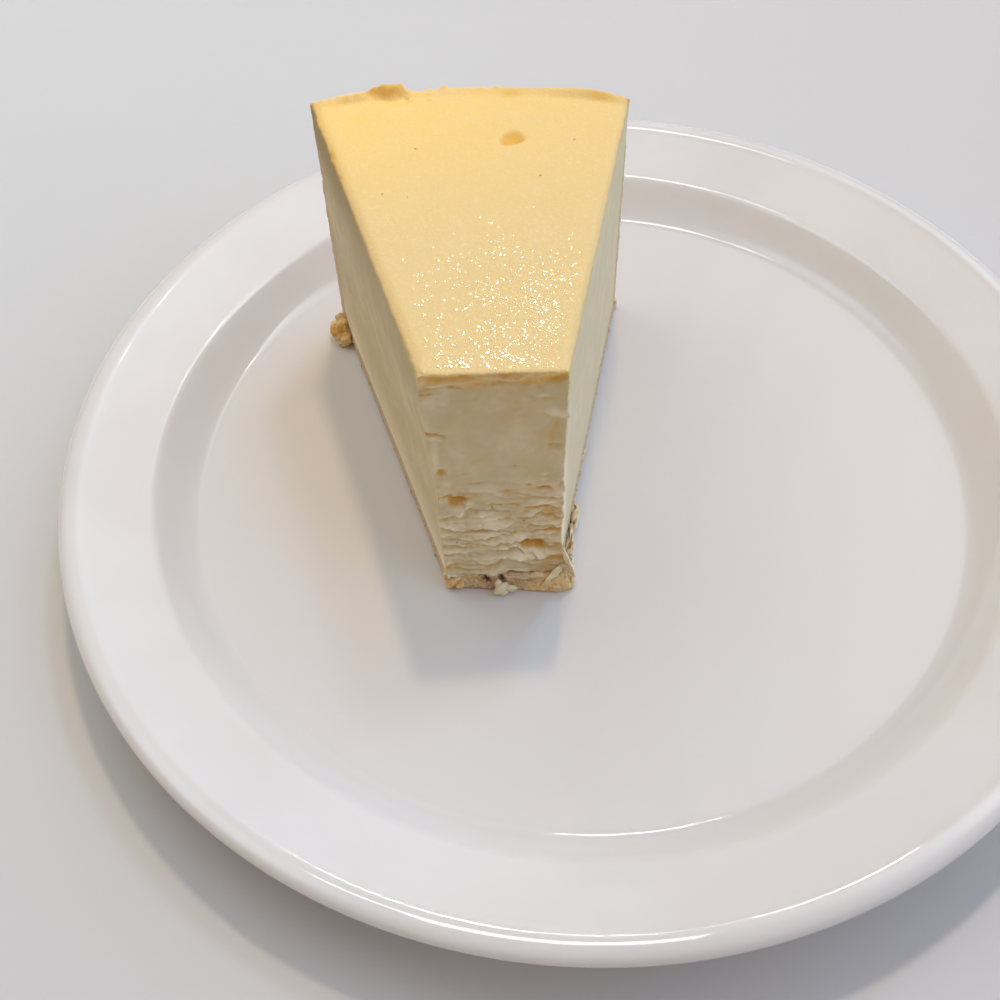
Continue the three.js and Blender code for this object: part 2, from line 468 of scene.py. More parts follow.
@dataclass(frozen=True)
class Dew:
    """Drops on the skin, which take its colour and stay glossy."""

    tint: Colour = shade(240, 211, 155)
    mottled: Colour = shade(240, 213, 160)
    gloss: float = 0.14

    def material(self) -> bpy.types.Material:
        """The drops' material."""
        paint = Paint("moist_drops")
        colour = paint.mix(self.tint, self.mottled, paint.noise(7, 4, 0.6).step(0.4, 0.7))
        return paint.finish(
            {
                "Base Color": colour,
                "Roughness": self.gloss + 0.06 * paint.noise(1.2, 2),
                "Normal": paint.bump(paint.noise(0.4, 2), 0.005),
                "Specular IOR Level": 1.0,
            }
        )


@dataclass(frozen=True)
class Biscuit:
    """Dry biscuit crumb, browned outside, darker in the low parts of its grit, with paler crumbs and
    painted shadow in its cracks.
    """

    brown: Colour = shade(216, 186, 138)
    dark: Colour = shade(166, 126, 82)
    light: Colour = shade(236, 212, 168)
    deep: Colour = shade(252, 218, 150)
    toast: Colour = shade(228, 174, 92)
    mauve: Colour = shade(198, 168, 134)
    cream: Colour = shade(248, 230, 194)
    # Painted shadow inside the cracks of the front.
    hollow: Colour = shade(92, 66, 40)
    roughness: float = 0.74
    relief_depth: float = 0.14

    def material(self) -> bpy.types.Material:
        """The crumb's material."""
        paint = Paint("biscuit_crumb")
        grit = paint.noise(0.7, 4, 0.7)
        patch = paint.noise(3.2, 3)
        cell, chance = paint.cells(0.9)
        gold, dull, dark, pale = (paint.layer(name) for name in CRUMB_TONES)
        colour = paint.coats(
            self.brown,
            (self.light, chance.step(0.45, 0.95) * 0.6),
            (self.deep, patch.step(0.5, 0.75) * 0.5),
            (self.mauve, dull * 0.85),
            (self.cream, pale * 0.8),
            (self.deep, gold.atmost(1.0) * 0.9),
            (self.toast, gold.step(1.0, 1.8)),
            (self.dark, grit.step(0.5, 0.32) * 0.38),
            # painted shadow inside the cracks, where the dark tone is set
            (self.hollow, dark),
        )
        relief = grit + (1 - cell) * 0.5
        return paint.finish(
            {
                "Base Color": colour,
                "Roughness": self.roughness + 0.2 * grit,
                "Normal": paint.bump(relief, self.relief_depth),
            }
        )


# Meshes


def block(lines: tuple[int, int, int]) -> bmesh.types.BMesh:
    """A closed cube from 0 to 1 whose sides are divided by mesh lines.

    Args:
        lines: Number of strips along X, Y and Z.

    Returns:
        The new mesh.
    """
    mesh = bmesh.new()
    bmesh.ops.create_cube(mesh, size=1.0)
    bmesh.ops.translate(mesh, verts=mesh.verts, vec=(0.5, 0.5, 0.5))
    for axis, count in enumerate(lines):
        edges = [e for e in mesh.edges if abs(e.verts[0].co[axis] - e.verts[1].co[axis]) > 0.5]
        bmesh.ops.subdivide_edges(mesh, edges=edges, cuts=count - 1, use_grid_fill=True)
    return mesh


def tone_layers(mesh: bmesh.types.BMesh, names: Iterable[str]) -> dict[str, Any]:
    """Layers for tones stored on the points of a mesh, by name."""
    return {name: mesh.verts.layers.float.new(name) for name in names}


def pour(source: bmesh.types.BMesh, target: bmesh.types.BMesh) -> None:
    """Adds a mesh to another one.

    Args:
        source: Mesh that is added.
        target: Mesh that takes it.
    """
    data = bpy.data.meshes.new("poured")
    source.to_mesh(data)
    target.from_mesh(data)
    bpy.data.meshes.remove(data)


class Batch:
    """Gathers many small closed shapes in one mesh, a few at a time, which keeps the work quick."""

    MOST_WAITING = 30

    def __init__(self) -> None:
        """Starts empty."""
        self.whole = bmesh.new()
        self.fresh = bmesh.new()
        self.waiting = 0

    def ball(self, round_parts: int, high_parts: int) -> list[bmesh.types.BMVert]:
        """Adds a ball of radius 1 at the origin, to be shaped by moving its points.

        Args:
            round_parts: Number of its faces round.
            high_parts: Number of its faces from pole to pole.

        Returns:
            Its points.
        """
        if self.waiting == self.MOST_WAITING:
            self.put_away()
        self.waiting += 1
        made = bmesh.ops.create_uvsphere(
            self.fresh, u_segments=round_parts, v_segments=high_parts, radius=1.0
        )
        return made["verts"]

    def put_away(self) -> None:
        """Moves the finished shapes to the whole."""
        pour(self.fresh, self.whole)
        self.fresh.clear()
        self.waiting = 0

    def mesh(self) -> bmesh.types.BMesh:
        """All shapes in one mesh."""
        self.put_away()
        self.fresh.free()
        return self.whole


def to_object(
    mesh: bmesh.types.BMesh, name: str, material: bpy.types.Material, place: Matrix
) -> bpy.types.Object:
    """Ends a mesh: puts it in its place in metres and makes an object of it.

    Args:
        mesh: Mesh in millimetres, which is freed.
        name: Name of the piece.
        material: Its finish.
        place: Move from the mesh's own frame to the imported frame.

    Returns:
        The object, at the origin and unturned.
    """
    bmesh.ops.transform(mesh, matrix=place, verts=mesh.verts)
    bmesh.ops.recalc_face_normals(mesh, faces=mesh.faces)
    for face in mesh.faces:
        face.smooth = True
    data = bpy.data.meshes.new(name)
    mesh.to_mesh(data)
    mesh.free()
    data.materials.append(material)
    piece = bpy.data.objects.new(name, data)
    bpy.context.scene.collection.objects.link(piece)
    return piece


def stand(name: str, data: bpy.types.ID, place: Matrix) -> bpy.types.Object:
    """Adds the camera or a lamp to the scene.

    Args:
        name: Name of the object.
        data: What it is.
        place: Its place and turn.

    Returns:
        The object.
    """
    item = bpy.data.objects.new(name, data)
    item.matrix_world = place
    bpy.context.scene.collection.objects.link(item)
    return item


def serve(piece: bpy.types.Object, slot: str, *replaced: str) -> bpy.types.Object:
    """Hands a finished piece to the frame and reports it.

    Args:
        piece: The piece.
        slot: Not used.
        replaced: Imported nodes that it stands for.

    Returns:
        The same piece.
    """
    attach(piece, BODY)
    if replaced:
        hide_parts(*replaced)
    piece.data.calc_loop_triangles()
    report.info("%s: %d triangles", piece.name, len(piece.data.loop_triangles))
    return piece


class Outline:
    """Half section of a turned shape, drawn stroke by stroke from the axis outwards and back."""

    def __init__(self, radius: float, height: float) -> None:
        """Starts at a radius and height, in millimetres."""
        self.points = [Vector((radius, 0.0, height))]

    def line(self, radius: float, height: float, pieces: int = 1) -> None:
        """Straight stroke to a radius and height, in a number of pieces."""
        start = self.points[-1].copy()
        end = Vector((radius, 0.0, height))
        self.points += [start.lerp(end, (step + 1) / pieces) for step in range(pieces)]

    def curve(self, corner: Sequence[float], end: Sequence[float], pieces: int) -> None:
        """Curved stroke that leaves towards a corner and arrives from it.

        Args:
            corner: Corner that the stroke rounds, as radius and height.
            end: End of the stroke, as radius and height.
            pieces: Number of pieces.
        """
        start = self.points[-1].copy()
        via = Vector((corner[0], 0.0, corner[1]))
        last = Vector((end[0], 0.0, end[1]))
        for step in range(1, pieces + 1):
            share = step / pieces
            self.points.append(start.lerp(via, share).lerp(via.lerp(last, share), share))

    def oval(self, centre: Vector, half_width: float, half_height: float, pieces: int = 28) -> None:
        """Outer half of an oval, from its lowest point round to its highest.

        Args:
            centre: Centre, as radius and height.
            half_width: Reach outwards.
            half_height: Reach up and down.
            pieces: Number of pieces.
        """
        for step in range(1, pieces + 1):
            turn = math.pi * (step / pieces - 0.5)
            outwards = centre.x + half_width * math.cos(turn)
            self.points.append(Vector((outwards, 0.0, centre.y + half_height * math.sin(turn))))

    def spun(self, steps: int) -> bmesh.types.BMesh:
        """Closed mesh of the section turned once round the axis.

        Args:
            steps: Number of steps round.

        Returns:
            The new mesh.
        """
        mesh = bmesh.new()
        corners = [mesh.verts.new(point) for point in self.points]
        edges = [mesh.edges.new(pair) for pair in zip(corners, corners[1:])]
        bmesh.ops.spin(
            mesh,
            geom=corners + edges,
            axis=(0, 0, 1),
            cent=(0, 0, 0),
            dvec=(0, 0, 0),
            angle=math.tau,
            steps=steps,
            use_merge=True,
        )
        bmesh.ops.remove_doubles(mesh, verts=mesh.verts, dist=1e-4)
        return mesh


# Plate


@dataclass
class Plate:
    """Round plate with a flat well, a steep step up to a broad sloping rim and a rolled lip."""

    radius: float = 112.5
    foot_height: float = 2.5
    foot_inner: float = 62.0
    foot_outer: float = 68.0
    foot_ease: float = 0.9
    well_floor: float = 7.0
    floor_radius: float = 86.6
    cove_up: float = 6.5
    cove_inwards: float = 2.4
    crease_radius: float = 93.2
    crease_rise: float = 8.4
    crease_ease: float = 1.1
    lip_rise: float = 13.8
    lip_half_width: float = 4.0
    lip_half_height: float = 2.5
    lip_flat: float = 0.6
    rim_slope: float = 14.8
    rim_thickness: float = 4.2
    under_ease: float = 1.2
    steps_round: int = 288

    def outline(self) -> Outline:
        """The plate's section, from the middle of its underside round the lip to the middle of the well."""
        lip_middle = self.well_floor + self.lip_rise - self.lip_half_height
        lip = Vector((self.radius - self.lip_half_width, lip_middle))
        crease = Vector((self.crease_radius, self.well_floor + self.crease_rise))
        floor_edge = Vector((self.floor_radius, self.well_floor))
        wall = (crease - floor_edge).normalized()
        outside = Vector((wall.y, -wall.x)) * self.rim_thickness
        wall_foot = floor_edge + outside
        under = Vector((crease.x + outside.x, crease.y + outside.y - self.under_ease / 2))
        lip_top = Vector((lip.x, lip.y + self.lip_half_height))
        rim = (lip_top - crease).normalized()
        lip_foot = crease + rim * self.rim_slope
        rim_end = crease + rim * self.crease_ease
        crease_foot = crease - wall * self.crease_ease
        cove_top = floor_edge + wall * self.cove_up

        inner, outer, high, bend = self.foot_inner, self.foot_outer, self.foot_height, self.foot_ease
        drawn = Outline(0, high)
        drawn.line(inner - bend, high, 8)
        drawn.curve((inner, high), (inner, bend), 5)
        drawn.curve((inner, 0), (inner + bend, 0), 5)
        drawn.line(outer - bend, 0, 3)
        drawn.curve((outer, 0), (outer, bend), 5)
        drawn.curve((outer, high), (outer + bend, high), 5)
        drawn.line(wall_foot.x - 4, high, 6)
        bend = self.under_ease
        drawn.curve((wall_foot.x, high), (wall_foot.x + bend, wall_foot.y + bend), 8)
        drawn.line(under.x - bend, under.y - bend, 4)
        drawn.curve(under, (under.x + 2 * bend, under.y + bend / 2), 8)
        drawn.line(lip.x, lip.y - self.lip_half_height, 6)
        drawn.oval(lip, self.lip_half_width, self.lip_half_height)
        drawn.curve((lip.x - self.lip_flat, lip_top.y), lip_foot, 8)
        drawn.line(rim_end.x, rim_end.y, 8)
        drawn.curve(crease, crease_foot, 10)
        drawn.line(cove_top.x, cove_top.y, 3)
        drawn.curve(floor_edge, (floor_edge.x - self.cove_inwards, self.well_floor), 18)
        drawn.line(0, self.well_floor, 30)
        return drawn

    def build(self, finish: bpy.types.Material) -> None:
        """Turns the plate and lays it in the frame.

        Args:
            finish: Its glaze.
        """
        mesh = self.outline().spun(self.steps_round)
        serve(to_object(mesh, "glazed_plate", finish, Matrix.Scale(MM, 4)), "white_glaze", "plate")


# Slice


@dataclass(frozen=True)
class Wedge:
    """Sizes that the filling, the crust and the crumbs share, in the slice's own frame."""

    cake_radius: float = 127.0
    half_angle: float = math.radians(15.33)
    front: float = 44.4
    height: float = 63.5
    top_tilt: float = 0.054
    turn: float = math.radians(2.81)
    centre: tuple[float, float] = (-15.92, -70.73)
    well_floor: float = 7.0
    gap: float = 0.3
    base: float = 4.0
    wall: float = 4.0
    wall_taper: float = 0.45
    wall_proud: float = 0.9
    wall_top_middle: float = 46.5
    wall_top_slant: float = 2.8
    apron_reach: float = 2.9
    bulge_left: float = 1.7
    bulge_right: float = 0.4
    flare_right: float = 2.4

    @property
    def place(self) -> Matrix:
        """Move from the slice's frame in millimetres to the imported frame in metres."""
        spot = Vector((*self.centre, self.well_floor))
        turned = Matrix.Rotation(self.turn, 4, "Z")
        return Matrix.Scale(MM, 4) @ Matrix.Translation(spot) @ turned

    def point(self, across: float, radius: float, height: float) -> Vector:
        """Point at a place across the slice, -1 to 1, a radius from the cake's middle and a height."""
        angle = across * self.half_angle
        return Vector((radius * math.sin(angle), radius * math.cos(angle), height))

    def half_width(self, y: float) -> float:
        """Half the slice's width at a distance along its middle line."""
        return y * math.tan(self.half_angle)

    def apron(self, z: float) -> float:
        """How far the foot of the torn front runs forward at a height."""
        return self.apron_reach * (1 - ease(3, 15, z))

    def bulge(self, across: float, y: float, z: float) -> float:
        """How far a point of the sagged slice bulges sideways, from its place across, back and up."""
        reach = self.bulge_left if across < 0 else self.bulge_right
        fore = (self.cake_radius - y) / (self.cake_radius - self.front)
        return across * reach * ease(28, 58, z) * max(fore, 0.0)

    def flare(self, across: float, z: float) -> float:
        """How far the front's right edge flares out at its foot."""
        return self.flare_right * ease(0.5, 1.0, across) * (1 - ease(4, 12.5, z))

    def seam(self, x: float, fore: float) -> float:
        """How far the ragged seam of filling and crust rises at the torn front."""
        ragged = 0.4 + 0.8 * grain(x * 0.3, 2.0, 60.0) + 0.6 * grain(x * 1.1, 5.0, 60.0)
        return clamp(ragged) * (1 - ease(0.5, 4.0, fore))

    def wall_top(self, across: float) -> float:
        """Height of the crust wall's uneven top at a place across the slice, -1 to 1."""
        ripple = 1.3 * math.sin(7.3 * across + 0.8) + 0.7 * math.sin(17 * across)
        return self.wall_top_middle + self.wall_top_slant * across + ripple + self.gap

    def wall_inner(self, share: float) -> float:
        """Radius of the wall's inner face at a share of its height."""
        return self.cake_radius - self.wall * (1 - self.wall_taper * share * share)


FLAP_FORM: Stops = ((-1.5, 0), (-1.05, -0.25), (-0.75, 0.85), (-0.45, 1), (1.2, 0))
POCKET_FORM: Stops = ((-1.5, 0), (-0.9, 0.15), (0.2, 0.85), (0.6, 1), (0.95, 0))
LAYER_FORM: Stops = ((0, 0), (0.1, 0.75), (0.28, 1), (0.7, 0.7), (0.9, 0.2), (1, 0))


class Tear(Enum):
    """How a mark stands on a surface."""

    SWELL = "soft swelling or dent"
    FLAP = "flap that hangs over a sharp lower edge"
    POCKET = "hollow under a sharp upper edge, with a lit floor"


@dataclass(frozen=True)
class Mark:
    """One mark on the torn front or the top, with its colours where its form gives them."""

    x: float
    y: float
    wide: float
    tall: float
    rise: float = 0.0
    gold: float = 0.0
    pale: float = 0.0
    tilt: float = 0.0
    tear: Tear = Tear.SWELL

    def at(self, x: float, y: float) -> Triple:
        """Rise, gold and pale that the mark adds at a place.

        Args:
            x: Place to the right.
            y: Place upwards on the front, or backwards on the top.

        Returns:
            Rise in millimetres, and shares of the golden and the pale tone. On a flap or a pocket the
            golden tone is painted shade where its overhang shades it, and the pale tone is painted light on
            its lit part.
        """
        turn = math.radians(self.tilt)
        dx = x - self.x
        dy = y - self.y
        s = (dx * math.cos(turn) + dy * math.sin(turn)) / self.wide
        t = (dy * math.cos(turn) - dx * math.sin(turn)) / self.tall
        if abs(s) > 1.9 or abs(t) > 2.2:
            return 0.0, 0.0, 0.0
        if self.tear is Tear.SWELL:
            share = bell(1.15 * s, 1.15 * t)
            return self.rise * share, self.gold * share, self.pale * share
        window = 1 - ease(0.45, 1.15, abs(s))
        if self.tear is Tear.FLAP:
            form = along(FLAP_FORM, t)
            shadow = bell((t + 1.05) / 0.35)
            lit = 1 - ease(0.2, 1.2, abs(t + 0.05))
        else:
            form = along(POCKET_FORM, t)
            shadow = bell((t - 0.25) / 0.55)
            lit = bell((t + 1.05) / 0.4)
        # Golden tone as painted shade under the overhang, pale tone as painted light on the lit part.
        return self.rise * form * window, self.gold * shadow * window, self.pale * lit * window


# Marks of the torn front; on flaps and pockets their gold is partly painted shade and their pale partly
# painted light.
FRONT_MARKS = (
    Mark(-9.6, 62.5, 2.4, 0.8, -0.35, 0.9),
    Mark(-5.4, 62.4, 2.9, 0.75, -0.35, 0.85),
    Mark(1.4, 62.6, 2.3, 0.7, -0.4, 1.1),
    Mark(7.6, 62.8, 1.8, 0.5, -0.2, 0.8),
    Mark(10.2, 61.0, 2.4, 1.2, -0.5, 1.1, 0.0, 12),
    Mark(6.4, 60.4, 2.8, 1.3, -0.1, 0.5),
    Mark(-7.2, 61.2, 3.4, 0.32, 0.35, 0.0, 0.9, 2),
    Mark(-1.6, 62.0, 2.4, 0.32, 0.35, 0.0, 0.9, -14),
    Mark(1.9, 61.2, 1.9, 0.3, 0.35, 0.0, 0.75, -8),
    Mark(4.9, 61.9, 1.7, 0.3, 0.35, 0.0, 0.75, 30),
    Mark(8.0, 61.9, 2.0, 0.32, 0.3, 0.0, 0.65, 6),
    Mark(-11.6, 62.2, 1.3, 0.5, 0.5, 0.0, 0.9),
    Mark(-10.2, 61.1, 0.9, 0.45, 0.4, 0.0, 0.7),
    Mark(-0.5, 60.6, 5.0, 0.8, 0.0, 0.4, 0.0, 3),
    Mark(-7.3, 60.2, 0.9, 0.45, -0.3, 0.85),
    Mark(-6.0, 59.7, 0.5, 0.35, -0.2, 0.6),
    Mark(-11.4, 58.9, 1.4, 0.4, -0.2, 0.55),
    Mark(-10.6, 60.2, 1.6, 0.7, -0.1, 0.3),
    Mark(-7.3, 56.5, 0.5, 0.35, -0.15, 0.4),
    Mark(-8.4, 56.2, 0.7, 0.4, 0.15, 0.0, 0.35),
    Mark(-10.9, 56.9, 1.4, 1.2, 0.15, 0.0, 0.25),
    Mark(-6.0, 53.8, 0.6, 0.4, 0.1, 0.0, 0.3),
    Mark(-9.9, 49.8, 0.45, 0.35, -0.1, 0.4),
    Mark(0.6, 60.0, 5.5, 1.6, -0.1, 0.22),
    Mark(7.4, 56.9, 1.8, 0.55, 0.35, 0.0, 0.45, -8),
    Mark(6.6, 54.4, 0.9, 0.4, 0.15, 0.0, 0.3),
    Mark(8.8, 55.6, 1.9, 0.6, -0.2, 0.4),
    Mark(7.2, 58.6, 1.0, 0.7, -0.15, 0.4),
    Mark(10.5, 52.1, 2.6, 1.0, 0.95, 0.45, 0.65, -22, Tear.FLAP),
    Mark(10.2, 49.0, 1.4, 1.6, -0.25, 0.35, 0.0, 30),
    Mark(-10.9, 47.3, 2.3, 0.75, -0.75, 0.95, 0.55, -30, Tear.POCKET),
    Mark(-11.6, 41.2, 0.7, 5.2, 0.4, 0.0, 0.55, -5),
    Mark(-12.0, 50.4, 0.8, 2.6, 0.25, 0.0, 0.35, 12),
    Mark(-11.1, 36.0, 0.9, 1.4, -0.9, 1.0),
    Mark(-9.2, 38.5, 1.2, 3.6, -0.1, 0.2),
    Mark(-10.2, 32.9, 1.3, 1.0, 0.25, 0.0, 0.35),
    Mark(-4.5, 30.5, 2.0, 1.0, 0.4, 0.0, 0.4),
    Mark(-4.6, 32.0, 2.0, 0.32, -0.25, 0.75, 0.0, 4),
    Mark(-0.8, 28.5, 0.95, 0.65, 0.35, 0.0, 0.45),
    Mark(3.8, 28.0, 3.4, 0.28, -0.25, 0.5, 0.0, -19),
    Mark(1.3, 29.2, 1.0, 0.35, -0.2, 0.5),
    Mark(2.9, 36.5, 0.55, 0.4, -0.3, 0.7),
    Mark(5.6, 34.6, 0.3, 0.3, -0.2, 0.5),
    Mark(5.5, 30.7, 0.45, 0.4, -0.3, 0.7),
    Mark(-6.9, 35.2, 0.8, 0.3, -0.2, 0.5),
    Mark(-9.4, 36.8, 0.4, 0.25, -0.1, 0.4),
    Mark(9.8, 43.4, 1.7, 0.45, 0.35, 0.0, 0.45),
    Mark(10.0, 42.0, 1.5, 0.7, -0.6, 0.5, 0.0, 0, Tear.POCKET),
    Mark(10.2, 40.4, 1.7, 0.4, 0.3, 0.0, 0.45),
    Mark(9.6, 45.5, 2.0, 6.5, -0.15, 0.24),
    Mark(9.4, 34.6, 2.0, 4.0, -0.1, 0.2),
    Mark(8.6, 33.9, 1.1, 0.35, 0.3, 0.0, 0.45),
    Mark(8.6, 32.4, 1.0, 0.4, 0.3, 0.0, 0.45),
    Mark(8.5, 29.4, 1.4, 0.9, -0.7, 1.0, 0.3, 5, Tear.POCKET),
    Mark(10.4, 29.1, 0.8, 0.5, 0.3, 0.0, 0.5),
    Mark(-8.7, 26.4, 1.8, 2.3, -1.4, 2.1, 0.3, 0, Tear.POCKET),
    Mark(-10.8, 28.5, 1.7, 0.8, -0.6, 0.85, 0.0, 18, Tear.POCKET),
    Mark(-6.2, 28.0, 2.0, 0.9, -0.3, 0.55),
    Mark(-4.6, 26.0, 1.6, 0.5, -0.2, 0.4),
    Mark(-6.1, 24.7, 0.5, 0.35, -0.25, 0.7),
    Mark(-1.2, 25.0, 1.6, 0.6, -0.6, 0.95, 0.3, 2, Tear.POCKET),
    Mark(2.3, 25.2, 1.9, 0.3, -0.25, 0.6, 0.0, -12),
    Mark(-10.0, 22.5, 2.9, 0.8, 0.6, 0.3, 0.6, 2, Tear.FLAP),
    Mark(-3.4, 23.4, 1.7, 1.0, 0.5, 0.0, 0.4, 0, Tear.FLAP),
    Mark(9.6, 22.6, 1.9, 4.6, -0.2, 0.38),
    Mark(8.7, 24.3, 0.9, 0.45, -0.4, 0.7),
    Mark(8.2, 22.6, 0.8, 0.45, -0.4, 0.7),
    Mark(-11.3, 20.2, 1.2, 1.8, -0.2, 0.4),
    Mark(-4.1, 19.5, 0.65, 0.45, -0.3, 0.75),
    Mark(-0.4, 20.5, 0.9, 0.4, -0.3, 0.6),
    Mark(1.6, 20.2, 0.8, 0.35, -0.25, 0.55),
    Mark(4.6, 20.4, 1.4, 0.45, -0.35, 0.65, 0.0, 8),
    Mark(1.4, 18.6, 1.4, 1.0, 0.45, 0.0, 0.5),
    Mark(-2.0, 17.9, 1.2, 0.6, 0.3, 0.0, 0.35),
    Mark(8.4, 15.4, 3.2, 0.7, -0.8, 1.15, 0.5, 6, Tear.POCKET),
    Mark(-5.6, 16.5, 3.2, 0.55, -0.55, 0.9, 0.5, 1, Tear.POCKET),
    Mark(0.8, 15.9, 2.7, 0.4, -0.4, 0.65, 0.5, -11, Tear.POCKET),
    Mark(1.9, 14.0, 3.2, 1.0, 0.7, 0.3, 0.65, -4, Tear.FLAP),
    Mark(-6.2, 14.6, 3.4, 0.9, 0.45, 0.2, 0.45, -3, Tear.FLAP),
    Mark(-11.0, 15.4, 0.8, 0.7, -0.4, 0.8),
    Mark(-5.6, 12.0, 4.8, 0.55, -0.55, 0.9, 0.3, -7, Tear.POCKET),
    Mark(6.3, 10.1, 2.7, 2.5, -1.6, 2.5, 0.3, 8, Tear.POCKET),
    Mark(2.6, 10.2, 1.8, 0.7, -0.7, 1.0, 0.0, 10, Tear.POCKET),
    Mark(0.2, 9.2, 1.3, 0.6, -0.5, 0.85, 0.0, 8),
    Mark(4.4, 7.4, 3.6, 1.7, 0.85, 0.25, 0.75, -6, Tear.FLAP),
    Mark(0.3, 7.2, 0.4, 1.8, 0.35, 0.0, 0.4),
    Mark(10.4, 5.6, 1.6, 1.7, -0.5, 0.6),
    Mark(-10.4, 6.2, 1.5, 1.4, -0.2, 0.35),
    Mark(7.5, 13.6, 1.6, 0.8, 0.4, 0.0, 0.35),
)

TOP_MARKS = (
    Mark(8.2, 123.4, 3.6, 1.8, 0.1, 0.55),
    Mark(27.6, 121.6, 4.2, 2.0, 0.1, 0.6, 0.0, -12),
    Mark(16.0, 125.0, 9.0, 1.4, 0.05, 0.35, 0.0, -6),
    Mark(-8.8, 121.9, 0.9, 0.7, 0.0, 0.5),
    Mark(-13.2, 121.3, 0.6, 0.8, 0.0, 0.6),
    Mark(-20.2, 125.2, 3.0, 1.4, 0.2, 0.25),
    Mark(-17.4, 124.0, 3.4, 2.6, 0.2, 0.95),
    Mark(-12.8, 124.6, 0.8, 1.6, 0.3, -0.5),
    Mark(-13.4, 122.4, 0.45, 0.5, -0.2, 1.4),
    Mark(-29.1, 105.4, 1.7, 0.4, -0.7, 1.7, 0.0, 106),
    Mark(-27.2, 98.4, 0.8, 0.4, -0.3, 0.9, 0.0, 106),
    Mark(-19.7, 81.1, 1.6, 1.2, -0.05, 0.4),
    Mark(-5.4, 125.7, 0.6, 0.8, 1.0, 0.0),
    Mark(-25.6, 121.9, 0.6, 0.8, 0.7, 0.0),
    Mark(-23.4, 122.6, 0.5, 0.8, 0.5, 0.0),
    Mark(5.6, 125.4, 1.0, 0.8, 0.55, 0.0),
    Mark(2.6, 125.8, 0.5, 0.7, 0.45, 0.0),
    Mark(-10.3, 125.6, 0.5, 0.7, -0.4, 0.5),
)


